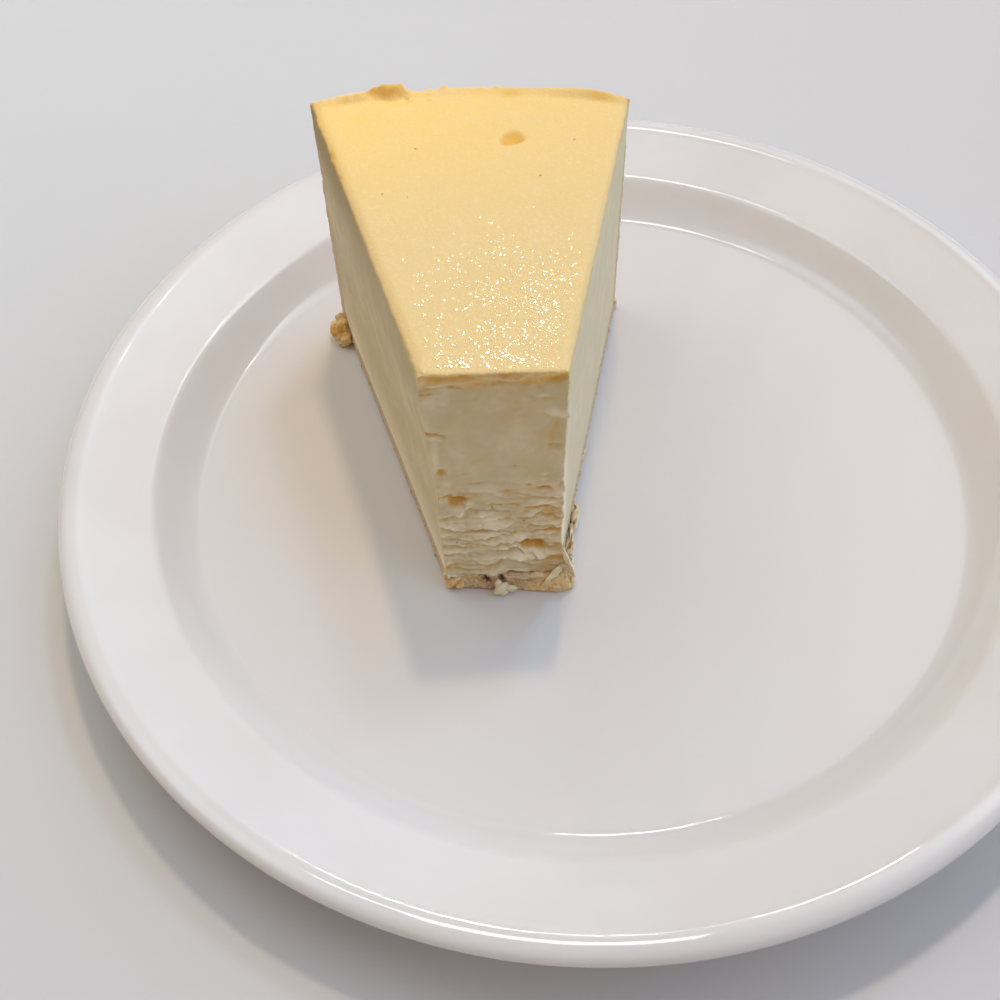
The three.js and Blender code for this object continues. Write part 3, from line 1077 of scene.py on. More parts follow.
@dataclass
class Filling:
    """The cheese filling: smooth cut sides, a torn front and a browned skin on top."""

    wedge: Wedge
    rounding: float = 1.6
    left_rounding: float = 0.6
    front_rounding: float = 0.75
    apron_slide: float = 1.54
    lines_across: int = 104
    side_crowding: float = 0.2
    back_stops: Stops = ((0, 0), (10, 2), (44, 55.6), (78, 72.6), (110, 82.6))
    up_stops: Stops = ((0, 4.6), (110, 34), (150, 56), (190, 63.5))
    dimple: tuple[float, float] = (7.6, 108.6)
    dimple_depth: float = 1.25
    dimple_slant: float = 0.22
    lump: tuple[float, float] = (-16.4, 124.7)
    lump_height: float = 1.7
    flaky_heights: tuple[float, float] = (24, 35)
    skin_foot: float = 60.6
    burrs: tuple[Triple, ...] = (
        (51.4, 0.6, 1.0),
        (40.4, 0.5, 0.35),
        (28.4, 0.6, 0.45),
        (10.9, 0.6, 0.5),
    )

    def from_dimple(self, x: float, y: float, sizes: Triple) -> tuple[float, bool]:
        """How far a place is from the dimple's middle.

        Args:
            x: Place to the right.
            y: Place backwards.
            sizes: The dimple's reach sideways, backwards and forwards.

        Returns:
            The distance, where 1 is the dimple's edge, and whether the place is behind its middle.
        """
        dx = x - self.dimple[0]
        dy = y - self.dimple[1] - self.dimple_slant * dx
        wide, back, fore = sizes
        return math.hypot(dx / wide, dy / (back if dy > 0 else fore)), dy > 0

    def surface(self, x: float, y: float) -> float:
        """Height of the top, with its dimple, its raised back rim, the lump on it and slow waves."""
        reach, behind = self.from_dimple(x, y, (3.4, 3.8, 1.7))
        dent = self.dimple_depth * (1 - ease(0.1 if behind else 0.6, 1.0, reach))
        beside = x - self.lump[0]
        away = math.hypot(beside / (5.4 if beside < 0 else 3.2), (y - self.lump[1]) / 3.0)
        away += 0.16 * grain(x * 0.9, y * 0.9, 70.0)
        lump = self.lump_height + 0.16 * beside + 0.5 * grain(x * 0.6, y * 0.6, 71.0)
        lump *= 1 - ease(0.55, 1.05, away)
        waves = 0.12 * grain(x * 0.07, y * 0.07, 4.0) + 0.05 * grain(x * 0.35, y * 0.35, 9.0)
        edge = self.wedge.cake_radius - self.wedge.wall_proud
        radius = math.hypot(x, y)
        near = ease(edge - 3, edge, radius)
        raised = near * (0.7 + math.exp(-((abs(x) - 24) ** 2) / 50))
        ragged = bell((edge - 0.8 - radius) / 1.3) * (1 - 0.8 * ease(6, 13, x))
        rag = ragged * (0.35 * grain(x * 0.8, 2.0) + 0.3 * grain(x * 2.1, 7.0))
        marks = sum(mark.at(x, y)[0] for mark in TOP_MARKS)
        slant = self.wedge.height - self.wedge.top_tilt * x
        return slant - dent + lump + waves + raised + rag + marks

    def top_gold(self, x: float, y: float) -> float:
        """Share of the golden tone on the top."""
        reach, _ = self.from_dimple(x, y, (3.3, 3.6, 1.6))
        inside = 0.9 * (1 - ease(0.4, 1.1, reach))
        rim = 0.3 * bell((self.wedge.cake_radius - math.hypot(x, y)) / 2.6)
        return inside + rim * (0.6 + 0.8 * grain(x * 0.3, 3.0)) + sum(m.at(x, y)[1] for m in TOP_MARKS)

    def torn(self, x: float, z: float) -> Triple:
        """Relief and tones of the torn front.

        Args:
            x: Place to the right.
            z: Height.

        Returns:
            Rise towards the viewer in millimetres, and shares of the golden tone, which is painted shade in
            the groove under each layer and in the marks' hollows, and of the pale tone, which is painted
            light where a layer stands out.
        """
        flaky = 1 - ease(*self.flaky_heights, z)
        rise = -0.5 * math.cos(x / 11.1) * (1 - flaky) + 0.05 * crumbly(x * 0.5, z * 0.5, 1.0)
        gold = 0.0
        pale = 0.0
        for pitch, size, seed in ((3.9, 1.35, 2.0), (1.6, 0.5, 5.0)):
            warp = 1.1 * grain(x * 0.12, z * 0.08, seed) + 0.35 * grain(x * 0.55, z * 0.3, seed + 3)
            phase = z / pitch + warp
            band = math.floor(phase)
            share = phase - band
            patch = clamp(0.45 + 1.3 * grain(x * 0.2, band * 7.7, seed + 6)) * flaky
            form = along(LAYER_FORM, share)
            rise += size * patch * (form - 0.55)
            # painted shade in the groove under each layer, painted light where the layer stands out
            gold += size * 0.5 * patch * bell((1 - share) / 0.16 if share > 0.5 else share / 0.1)
            pale += 0.75 * size * patch * ease(0.5, 1.0, form)
        rise += 0.18 * flaky * crumbly(x * 0.9, z * 1.3, 3.0)
        bent_x = x + 0.45 * grain(x * 0.6, z * 0.6, 11.0)
        bent_z = z + 0.4 * grain(x * 0.55, z * 0.55, 17.0)
        for mark in FRONT_MARKS:
            more = mark.at(bent_x, bent_z)
            rise += more[0]
            gold += more[1]
            pale += more[2]
        return rise, gold * (0.75 + 0.5 * grain(x * 1.3, z * 1.3, 21.0)), pale

    def skin_edge(self, x: float) -> float:
        """Height on the front where the browned skin ends."""
        waves = 0.7 * math.sin(0.55 * x + 1.0) + 0.4 * math.sin(1.35 * x)
        return self.skin_foot + waves + 0.4 * grain(x * 1.7, 0.0)

    def build(self, finish: bpy.types.Material) -> None:
        """Shapes the filling and lays it in the frame.

        Args:
            finish: The cheese.
        """
        wedge = self.wedge
        lines_back = self.back_stops[-1][0]
        lines_up = self.up_stops[-1][0]
        mesh = block((self.lines_across, lines_back, lines_up))
        below = [f for f in mesh.faces if max(v.co.z for v in f.verts) < 1e-5]
        bmesh.ops.dissolve_faces(mesh, faces=below)
        layers = tone_layers(mesh, CHEESE_TONES)
        for vertex in mesh.verts:
            tones = self.shape(vertex, lines_back, lines_up)
            for name, layer in layers.items():
                vertex[layer] = tones[name]
        serve(to_object(mesh, "baked_cheese", finish, wedge.place), "baked_cheese", "cheese_filling")

    def shape(self, vertex: bmesh.types.BMVert, lines_back: int, lines_up: int) -> dict[str, float]:
        """Moves one point of the divided cube to its place on the filling.

        Args:
            vertex: The point, whose shares of the cube say where it belongs.
            lines_back: Mesh lines from front to back.
            lines_up: Mesh lines from bottom to top.

        Returns:
            The point's tones by name.
        """
        wedge = self.wedge
        u, v, w = vertex.co
        u -= self.side_crowding * math.sin(math.tau * u) / math.tau
        across = 2 * u - 1
        depth = along(self.back_stops, v * lines_back) / self.back_stops[-1][1]
        z = along(self.up_stops, w * lines_up)

        ledge = wedge.wall_top(across) + wedge.gap
        base_top = wedge.base + wedge.gap
        back = wedge.cake_radius - wedge.wall_proud
        if z <= ledge + 1e-6:
            back = wedge.wall_inner(clamp((z - base_top) / (ledge - base_top))) - wedge.gap
        front_radius = wedge.front / math.cos(across * wedge.half_angle)
        point = wedge.point(across, lerp(front_radius, back, depth), 0)
        x, y = point.x, point.y
        top = self.surface(x, y)
        low = self.up_stops[0][1]
        z = lerp(low, top, (z - low) / (wedge.height - low))

        side = (wedge.half_width(y) - abs(x)) * math.cos(wedge.half_angle)
        fore = y - wedge.front
        z += wedge.seam(x, fore) * (1 - ease(0.0, 4.0, z - low))
        rear = back - math.hypot(x, y)
        under = top - z
        on_front = 1 - ease(0.0, 2.0, fore)
        on_side = 1 - ease(0.0, 1.2, side)

        rounding = self.rounding + self.left_rounding * ease(0.0, -0.4, across)
        radius = lerp(self.front_rounding, rounding, max(ease(0.4, 3.5, fore), ease(-9.5, -14, x)))
        inward = max(radius - side, 0.0)
        lengthways = max(radius - min(fore, rear), 0.0)
        upward = max(radius - under, 0.0)
        flat = min(math.hypot(inward, lengthways), radius)
        reach = math.hypot(flat, upward)
        if reach > radius:
            pull = 1 - radius / reach
            x -= math.copysign(inward * pull / math.cos(wedge.half_angle), x)
            y += lengthways * pull * (1 if fore < rear else -1)
            z -= upward * pull

        apron = wedge.apron(z)
        rise, gold, pale = (0.0, 0.0, 0.0)
        if on_front > 0:
            rise, gold, pale = self.torn(x, z - self.apron_slide * apron)
        tuck = 1 - 0.9 * ease(1.2, 0.0, under)
        y -= rise * on_front * tuck
        edge = 0.25 * grain(x * 0.45, 3.3) + 0.16 * grain(x * 1.5, 6.1)
        y -= on_front * bell((under - 0.6) / 1.2) * edge
        drag = 0.12 * grain(y * 0.05, z * 0.45, 30.0 + across)
        drag += 0.07 * grain(y * 0.12, z * 1.6, 40.0 + across)
        fringe = bell((under - 1.2) / 0.9)
        lip = fringe * (0.1 + 0.35 * grain(y * 0.35, 1.0, across) + 0.2 * grain(y * 1.1, 4.0, across))
        rag = on_front * (0.55 * grain(z * 0.22, 5.0, across) + 0.4 * grain(z * 0.8, 8.0, across))
        if across > 0:
            burr = sum(size * bell((z - height) / tall) for height, tall, size in self.burrs)
            rag += burr * (1 - ease(0.0, 0.9, fore))
        x += math.copysign(on_side * (drag + lip + rag * tuck), across)
        shift = apron * (1 - ease(0, 10, fore))
        x = x * (1 - shift / (y + shift)) + wedge.bulge(across, y, z)
        x += wedge.flare(across, z) * (1 - ease(0.0, 2.4, fore))
        y -= shift

        vertex.co = (x, y, z)
        return self.tones((x, y, z), under, (on_front, on_side, across), (gold, pale))

    def tones(
        self, spot: Triple, under: float, faces: Triple, torn: tuple[float, float]
    ) -> dict[str, float]:
        """Shares of each tone at a point.

        Args:
            spot: The point, in the slice's frame.
            under: Depth below the top.
            faces: How near the front and the sides are, and the place across.
            torn: Golden and pale tone of the torn front.

        Returns:
            The tones by name.
        """
        x, y, z = spot
        on_front, on_side, across = faces
        gold, pale = torn
        on_top = 1 - ease(0.0, 1.6, under)
        inside = on_front * ease(0.15, 0.7, under)
        beside = (1 - on_front) * on_side
        thin = 0.9 + 0.45 * grain(y * 0.3, 3.0, across)
        side_skin = 1 - ease(0.35 * thin, 1.3 * thin, under)
        front_skin = ease(self.skin_edge(x) - 0.5, self.skin_edge(x) + 0.6, z)
        skin = lerp(side_skin, front_skin * 0.75 + side_skin * 0.25, on_front)
        fringe = 0.5 * beside * bell((under - 1.0) / 0.6) * (0.6 + grain(y * 0.5, 9.0))
        tinged = 0.13 + 0.2 * grain(x * 0.16, z * 0.16, 12.0) + 0.18 * grain(x * 0.5, z * 0.7, 14.0)
        tinged += 0.14 * bell((under - 2.5) / 4.0) + 0.16 * ease(26, 16, z) * ease(2, 9, x)
        golden = (gold + tinged) * inside + on_top * (1 - inside) * self.top_gold(x, y) + fringe
        warm = ease(75, 122, y) * (0.75 - 0.012 * x)
        left = ease(0.2, -0.2, across)
        # low: the foot of the left side made paler: painted light bounced up from the plate.
        low = beside * left * bell((z - 3) / 9.0)
        fore = y - self.wedge.front
        # lit: the right side made paler near the front and low down: painted light from the right.
        lit = beside * (1 - left) * (bell((fore - 1.8) / 3.0) * ease(46, 20, z) + 0.3)
        # dull: the left side darker below its top edge: painted shade; the next line makes the foot of the
        # torn front duller.
        dull = beside * left * (1 - on_top) * bell(under / 13) * (0.42 + 0.9 * ease(60, 118, y))
        dull += 0.55 * inside * bell((z - 5.0) / 2.2) * (0.7 + grain(x * 0.8, z * 0.8, 36.0))
        return {
            "skin": clamp(skin),
            "gold": max(golden, 0.0) * (1 - 0.6 * clamp(pale) * inside),
            "pale": 0.85 * clamp(pale) * inside + clamp(low + lit) * (1 - on_top),
            "cut": on_side * (1 - on_front) * (1 - on_top),
            "warm": clamp(warm),
            "dull": clamp(dull),
        }


@dataclass
class Drops:
    """Small drops that stand on the skin, most of them towards the front and the right."""

    filling: Filling
    count: int = 900
    sides: int = 8
    reach_back: float = 46
    from_edge: float = 1.8
    pools: tuple[float, float] = (4.0, -6.5)
    smallest: float = 0.11
    steepness: tuple[float, float] = (4, 12)

    def build(self, finish: bpy.types.Material) -> bpy.types.Object:
        """Scatters the drops over the top.

        Args:
            finish: Their gloss.

        Returns:
            The drops' object.
        """
        wedge = self.filling.wedge
        chance = random.Random(SEED)
        batch = Batch()
        made = 0
        while made < self.count:
            y = wedge.front + 1.2 + self.reach_back * chance.random() ** 1.1
            across = 2 * chance.random() - 1
            x = across * (wedge.half_width(y) - self.from_edge)
            near = ease(88, 56, y) * (0.16 + 0.4 * ease(-0.7, 0.5, across))
            near *= clamp(0.7 + 1.1 * grain(x * 0.25, y * 0.25, 50.0))
            near = max(near, 0.8 * bell((across - 0.7) / 0.3, (y - 62) / 12))
            near = max(near, *(bell((x - pool) / 2.0, (y - 47.2) / 1.1) for pool in self.pools))
            if chance.random() > near:
                continue
            radius = self.smallest + (0.18 + 0.12 * near) * chance.random() ** 2.2
            steep = math.radians(lerp(*self.steepness, chance.random()) + 5 * near * chance.random())
            self.drop(batch, Vector((x, y, self.filling.surface(x, y))), radius, steep, chance)
            made += 1
        return serve(to_object(batch.mesh(), "moist_drops", finish, wedge.place), "baked_cheese")

    def drop(
        self, batch: Batch, spot: Vector, radius: float, steep: float, chance: random.Random
    ) -> None:
        """Adds one drop: a low dome with a flat underside.

        Args:
            batch: Batch that it is added to.
            spot: Middle of its underside.
            radius: Radius of its underside.
            steep: Angle at which it meets the skin.
            chance: Source of its uneven outline.
        """
        points = batch.ball(self.sides, 4)
        dome = 1 / math.sin(steep)
        stretch = lerp(0.8, 1.25, chance.random())
        turned = Matrix.Rotation(math.tau * chance.random(), 3, "Z")
        for vertex in points:
            flat = math.acos(min(abs(vertex.co.z), 1.0)) / (math.pi / 2)
            way = vertex.co.to_2d().normalized() if vertex.co.to_2d().length > 1e-4 else Vector((0, 0))
            rise = math.sqrt(dome * dome - flat * flat) - math.sqrt(dome * dome - 1)
            if vertex.co.z < -0.01:
                rise = -0.05 / radius
            shaped = Vector((way.x * flat * stretch, way.y * flat / stretch, rise))
            vertex.co = spot + turned @ (shaped * radius)
        rim = [v for v in points if abs(v.co.z - spot.z) < 1e-5]
        for edge in {e for v in rim for e in v.link_edges}:
            edge.smooth = not (edge.verts[0] in rim and edge.verts[1] in rim)


# Cracks in the crust's front: each dents it, and its gold share gives the painted shadow inside the crack.
CRACKS = (
    Mark(-3.5, 2.8, 1.3, 0.5, -1.5, 1.2, 0.0, -32),
    Mark(-0.4, 3.3, 1.0, 0.45, -1.5, 1.2, 0.0, -42),
    Mark(4.6, 3.2, 2.2, 0.25, -0.6, 0.8, 0.0, -8),
    Mark(8.9, 3.4, 1.2, 0.35, -0.9, 0.9, 0.0, 35),
    Mark(-10.3, 3.3, 0.8, 0.3, -0.6, 0.7, 0.0, -20),
)


@dataclass
class Crust:
    """The biscuit crust: a thin base under the slice and a wall up its back, rough with crumbs."""

    wedge: Wedge
    base_lines: int = 70
    wall_lines: int = 56
    lines_across: int = 90
    lines_through: int = 12
    front_stops: Stops = ((-12, 42.4), (-9, 41.8), (-3.5, 41.2), (1, 40.6), (6, 40.3), (12, 41.0))
    toe: tuple[float, float] = (10.5, 41.3)
    toe_reach: float = 5.1
    front_crowding: float = 0.35
    rough_height: float = 0.34
    fine_height: float = 0.16

    def build(self, finish: bpy.types.Material) -> None:
        """Shapes the crust and lays it in the frame.

        Args:
            finish: Its crumb.
        """
        mesh = block((self.lines_across, self.base_lines + self.wall_lines, self.lines_through))
        layers = tone_layers(mesh, CRUMB_TONES)
        for vertex in mesh.verts:
            shares = vertex.co.copy()
            vertex.co = self.shape(*shares)
            tones = self.tones(*shares, vertex.co)
            for name, layer in layers.items():
                vertex[layer] = tones[name]
        place = self.wedge.place
        serve(to_object(mesh, "crumb_crust", finish, place), "biscuit_crumb", "biscuit_crust")

    def tones(self, u: float, v: float, w: float, spot: Vector) -> dict[str, float]:
        """Shares of each tone at a point.

        Args:
            u: Share across the slice.
            v: Share of the way back under the filling and up the wall.
            w: Share from the outside in.
            spot: The point, in the slice's frame.

        Returns:
            The tones by name.
        """
        side = 1 - ease(0.0, 0.06, min(u, 1 - u))
        front = 1 - ease(0.0, 0.05, v)
        ends = 0.9 * ease(-8.0, -9.6, spot.x) + 0.85 * ease(3.5, 7.5, spot.x)
        middle = bell((spot.x + 2.2) / 7.2)
        smear = 1.6 * grain(spot.x * 0.6, spot.z * 0.9, 33.0) + 0.5 * ease(2.2, 4.4, spot.z)
        smeared = front * clamp(smear)
        return {
            "pale": max(0.75 * smeared, 0.4 * side * (1 - front)),
            "gold": front * ends * clamp(0.8 + 0.8 * grain(spot.x * 0.5, spot.z * 0.5, 8.0)),
            "dull": max(0.6 * side * (1 - front), 0.9 * front * middle),
            # dark: painted shadow inside the cracks of the front.
            "dark": clamp(front * sum(mark.at(spot.x, spot.z)[1] for mark in CRACKS)),
        }

    def shape(self, u: float, v: float, w: float) -> Vector:
        """Point of the crust.

        Args:
            u: Share across the slice.
            v: Share of the way back under the filling and up the wall.
            w: Share from the outside in.

        Returns:
            The point, in the slice's frame.
        """
        wedge = self.wedge
        line = round(v * (self.base_lines + self.wall_lines))
        base = min(line, self.base_lines) / self.base_lines
        base = lerp(base, ease(0, 1, base), self.front_crowding)
        wall = max(line - self.base_lines, 0) / self.wall_lines
        across = 2 * u - 1
        top = wedge.wall_top(across) - wedge.gap
        start = along(self.front_stops, 12 * across) / math.cos(across * wedge.half_angle)
        inner = wedge.point(across, lerp(start + 0.7, wedge.wall_inner(wall), base), 0)
        inner.z = lerp(wedge.base, top, wall)
        outer = wedge.point(across, lerp(start, wedge.cake_radius, base), lerp(0, top, wall))
        point = outer.lerp(inner, w)

        rough = self.rough_height * crumbly(*(point * 0.55))
        fine = self.fine_height * crumbly(*(point * 1.7))
        side = 0.55 * (1 - ease(0.0, 0.05, min(u, 1 - u)))
        front = 1 - ease(0.0, 0.04, v)
        behind = ease(0.0, 0.2, wall) * (1 - w)
        point.x += math.copysign(side * (rough + fine), across)
        cracked = sum(mark.at(point.x, point.z)[0] for mark in CRACKS) if front > 0 else 0.0
        point.y -= front * (0.8 * (rough + fine) + cracked)
        if line > self.base_lines:
            point.y += behind * min(rough + fine, 0.1)
        toe = bell((point.x - self.toe[0]) / self.toe_reach, (point.y - self.toe[1]) / self.toe_reach)
        toe *= (1 - wall) * (1 - point.z / (2 * wedge.base))
        if wall == 0:
            point.z += wedge.seam(point.x, point.y - wedge.front + wedge.apron_reach) * point.z / wedge.base
            point.x += 3.0 * toe
            point.y -= 1.6 * toe
        point.z += wedge.gap
        if w == 0 and wall < 0.04:
            point.z = max(point.z + 0.5 * side * max(fine, 0), wedge.gap)
        return point


# Middle, then half size along each axis, of the lumps of crumb that lie or hang beside the slice
LOOSE_LUMPS = (
    (-34.2, 117.2, 2.8, 2.4, 2.5, 3.0),
    (-33.6, 118.6, 4.6, 1.7, 1.9, 1.9),
    (-33.4, 115.2, 1.1, 1.6, 1.5, 1.2),
    (-32.9, 114.6, 2.4, 1.3, 1.3, 1.9),
    (-35.4, 118.0, 1.5, 1.0, 1.1, 1.3),
    (19.9, 73.6, 1.3, 0.6, 3.0, 1.2),
    (20.3, 76.6, 1.5, 0.5, 1.7, 1.0),
    (19.3, 70.3, 0.7, 0.4, 1.1, 0.6),
    (16.9, 57.6, 1.3, 0.8, 2.0, 1.3),
    (16.3, 59.6, 1.3, 0.7, 1.1, 1.1),
    (15.8, 54.9, 0.8, 0.6, 1.2, 0.8),
    (14.7, 50.6, 1.2, 0.5, 2.2, 1.1),
    (14.5, 48.4, 0.9, 0.6, 1.0, 0.9),
    (14.1, 44.9, 1.1, 0.6, 1.4, 1.0),
    (13.7, 41.6, 1.1, 0.9, 1.1, 1.0),
    (12.7, 40.4, 1.2, 1.2, 0.8, 1.1),
    (10.4, 39.8, 1.1, 1.6, 0.7, 1.0),
    (7.4, 40.2, 0.9, 1.2, 0.7, 0.8),
    (-11.2, 42.4, 1.4, 1.0, 0.9, 1.4),
    (-10.4, 42.0, 2.9, 1.1, 0.8, 1.1),
    (-12.0, 43.4, 3.2, 0.7, 0.8, 1.0),
    (-9.0, 42.0, 1.3, 1.2, 0.6, 1.1),
    (33.2, 121.8, 2.0, 0.9, 1.1, 1.4),
    (-12.9, 51.2, 0.7, 0.4, 0.8, 0.6),
    (-15.5, 58.0, 0.6, 0.4, 0.8, 0.5),
)

# The same of the torn bits of cheese
CHEESE_LUMPS = (
    (-0.5, 39.9, 1.8, 1.8, 0.9, 1.5),
    (1.3, 39.9, 1.7, 1.4, 0.6, 0.9),
    (-0.1, 39.6, 1.0, 1.2, 0.7, 0.8),
    (-1.2, 40.4, 3.1, 0.8, 0.6, 1.1),
    (-11.9, 42.9, 4.2, 0.7, 0.4, 0.35),
    (-10.4, 41.6, 3.6, 0.6, 0.4, 0.3),
    (-9.6, 41.6, 4.4, 0.7, 0.4, 0.4),
    (14.5, 42.8, 3.2, 0.7, 0.8, 0.9),
    (14.7, 41.0, 1.6, 0.6, 0.7, 0.8),
    (14.3, 42.0, 4.4, 0.4, 0.6, 0.8),
    (15.3, 52.2, 2.5, 0.25, 1.0, 0.35),
    (15.5, 48.9, 2.6, 0.25, 0.9, 0.35),
    (17.5, 58.6, 2.5, 0.3, 1.2, 0.4),
    (-12.9, 52.4, 1.4, 0.3, 0.7, 0.6),
)

# Points and shares of width along the middle line of each strip of crumb on the right foot
CRUMB_STRIPS = (
    ((17.3, 60.9, 1.2, 0.5), (17.6, 59.0, 1.5, 1.1), (17.4, 56.8, 1.3, 1.2), (16.4, 54.4, 1.0, 0.5)),
    ((15.7, 54.2, 1.3, 0.4), (15.5, 51.6, 1.5, 1.3), (15.4, 49.2, 1.7, 1.5), (14.8, 47.4, 1.3, 0.6)),
    ((15.1, 46.6, 1.4, 0.3), (14.9, 45.4, 1.5, 1.2), (14.4, 43.9, 1.2, 0.7)),
)

# The same of the strips of cheese, each with its half width as a direction and its thickness
CHEESE_STRIPS = (
    (
        ((11.9, 41.7, 5.9, 0.7), (10.7, 40.9, 5.2, 1.0), (9.4, 40.2, 4.3, 0.6), (7.9, 39.5, 3.2, 0.1)),
        (0.45, -0.2, -0.85),
        0.45,
    ),
    (
        ((12.6, 42.3, 11.5, 0.3), (13.3, 42.1, 8.6, 0.6), (14.3, 41.9, 5.2, 0.7), (14.9, 41.6, 2.4, 0.5)),
        (0.8, -0.6, 0.2),
        0.5,
    ),
)


@dataclass
class Crumbs:
    """Loose and half loose crumbs of the crust, and torn bits of cheese."""

    wedge: Wedge
    grains: int = 700

    def lump(
        self,
        mesh: bmesh.types.BMesh,
        spot: Vector,
        sizes: Sequence[float],
        rough: float,
        fineness: int,
        chance: random.Random,
    ) -> None:
        """Adds one uneven lump that doesn't sink into the plate.

        Args:
            mesh: Mesh that it is added to.
            spot: Its middle.
            sizes: Half its size along each axis before it is turned.
            rough: Depth of its unevenness, as a share of its size.
            fineness: How often its ball is divided.
            chance: Source of its turn and form.
        """
        made = bmesh.ops.create_icosphere(mesh, subdivisions=fineness, radius=1.0)
        aligned = self.wedge.half_angle * (1 if spot.x < 0 else -1)
        turned = Matrix.Rotation(aligned + 0.5 * (chance.random() - 0.5), 3, "Z")
        seed = 100 * chance.random()
        for vertex in made["verts"]:
            way = vertex.co.normalized()
            swell = 1 + rough * crumbly(way.x * 1.5 + seed, way.y * 1.5, way.z * 1.5)
            shaped = Vector((way.x * sizes[0], way.y * sizes[1], way.z * sizes[2])) * swell
            vertex.co = spot + turned @ shaped
            vertex.co.z = max(vertex.co.z, 0.04)

    def strip(
        self, mesh: bmesh.types.BMesh, stops: Sequence[Sequence[float]], width: Vector, thick: float
    ) -> None:
        """Adds a thin torn strip along a bent line.

        Args:
            mesh: Mesh that it is added to.
            stops: Points of its middle line, each with the share of its width there.
            width: Its half width, as a direction.
            thick: Its thickness.
        """
        flake = block((24, 8, 3))
        seed = stops[0][0] * 3.1
        for vertex in flake.verts:
            run = vertex.co.x * (len(stops) - 1)
            index = min(int(run), len(stops) - 2)
            start = Vector(stops[index][:3])
            end = Vector(stops[index + 1][:3])
            middle = start.lerp(end, run - index)
            broad = lerp(stops[index][3], stops[index + 1][3], run - index)
            sideways = (vertex.co.y - 0.5) * 2
            broad *= 1 + 0.35 * grain(run * 2.3, sideways, seed)
            normal = (end - start).cross(width).normalized()
            lift = (vertex.co.z - 0.5) * thick * (1 - 0.6 * sideways * sideways)
            lift += 0.35 * thick * grain(run * 2.0, sideways * 1.5, seed + 5) + 0.3 * sideways * sideways
            vertex.co = middle + width * (sideways * broad) + normal * lift
            vertex.co.z = max(vertex.co.z, 0.05)
        pour(flake, mesh)
        flake.free()

    def build_loose(self, finish: bpy.types.Material) -> None:
        """Makes the crumbs that fell beside the slice.

        Args:
            finish: Their crumb.
        """
        chance = random.Random(SEED + 1)
        mesh = bmesh.new()
        for x, y, z, *sizes in LOOSE_LUMPS:
            rough = 0.2 if x > 13 else 0.3
            self.lump(mesh, Vector((x, y, z)), sizes, rough, 4 if max(sizes) > 1.4 else 3, chance)
        for stops in CRUMB_STRIPS:
            self.strip(mesh, stops, Vector((0.3, 0.05, 1.0)), 0.55)
        tones = tone_layers(mesh, ("pale", "gold"))
        for vertex in mesh.verts:
            x, y, z = vertex.co
            right = ease(13.2, 14.2, x) * ease(41, 43, y)
            outer = ease(0.2, 1.0, x - 0.27 * y - 0.6)
            pale = 0.6 + 0.4 * outer + 0.9 * grain(x * 0.7, y * 0.7, z * 0.7)
            toasted = clamp(0.7 + 1.4 * grain(x * 0.45, y * 0.45, z * 0.45))
            toasted *= 1.9 if y > 90 else 1.4
            vertex[tones["pale"]] = right * clamp(pale)
            vertex[tones["gold"]] = toasted * (1 - right)
        serve(to_object(mesh, "loose_crumbs", finish, self.wedge.place), "biscuit_crumb")

    def build_grains(self, crust: Crust, finish: bpy.types.Material) -> None:
        """Roughens the crust with small grains that sit half in it.

        Args:
            crust: The crust that carries them.
            finish: Their crumb.
        """
        chance = random.Random(SEED + 2)
        wedge = self.wedge
        batch = Batch()
        for index in range(self.grains):
            across = 2 * chance.random() - 1
            kind = index % 8
            if kind < 1:
                spot = crust.shape((across + 1) / 2, 0.0, chance.random())
            elif kind < 3:
                spot = crust.shape(0.0 if chance.random() < 0.5 else 1.0, 0.55 * chance.random(), 0.5)
                spot.z = lerp(0.5, wedge.base - 0.6, chance.random())
            else:
                spot = crust.shape((across + 1) / 2, lerp(0.57, 1.0, chance.random()), 0.0)
            radius = lerp(0.16, 0.28 if kind == 2 else 0.45, chance.random() ** 1.6)
            points = batch.ball(7, 5)
            stretch = [radius * lerp(0.75, 1.2, chance.random()) for _ in range(3)]
            turned = Matrix.Rotation(math.tau * chance.random(), 3, "Z")
            for vertex in points:
                shaped = Vector([part * size for part, size in zip(vertex.co, stretch)])
                shaped *= 1 + 0.3 * (chance.random() - 0.5)
                vertex.co = spot + turned @ shaped
                vertex.co.z = max(vertex.co.z, 0.04)
        serve(to_object(batch.mesh(), "crust_grains", finish, wedge.place), "biscuit_crumb")

    def build_torn(self, finish: bpy.types.Material) -> None:
        """Makes the torn bits of cheese at the foot of the front.

        Args:
            finish: The cheese.
        """
        chance = random.Random(SEED + 3)
        mesh = bmesh.new()
        for x, y, z, *sizes in CHEESE_LUMPS:
            self.lump(mesh, Vector((x, y, z)), sizes, 0.16, 3, chance)
        for stops, width, thick in CHEESE_STRIPS:
            self.strip(mesh, stops, Vector(width), thick)
        tones = tone_layers(mesh, ("pale", "gold"))
        for vertex in mesh.verts:
            x = vertex.co.x
            on_toe = 0.5 if 7 < x < 12.5 else 0.0
            vertex[tones["pale"]] = 0.95 if x > 12.5 else 0.5
            vertex[tones["gold"]] = 0.4 * max(grain(*(vertex.co * 0.9)) + on_toe, 0.0)
        serve(to_object(mesh, "torn_cheese", finish, self.wedge.place), "baked_cheese")


# Studio


@dataclass(frozen=True)
class Lamp:
    """A soft studio lamp, by the direction it shines from; one that is near has its distance too."""

    name: str
    towards: Triple
    strength: float
    colour: Triple
    width: float
    near: float = 0.0
    shine: bool = False


@dataclass(frozen=True)
class Panel:
    """A bright ceiling panel that shows in glossy surfaces alone."""

    name: str
    towards: Triple
    size: tuple[float, float]
    radiance: float
    distance: float = 2.0


@dataclass(frozen=True)
class Glow:
    """A soft bright part of the room that shows in glossy surfaces alone, as discs one in another."""

    name: str
    towards: Triple
    radiance: float
    colour: Triple
    narrow: float
    wide: float
    steps: int


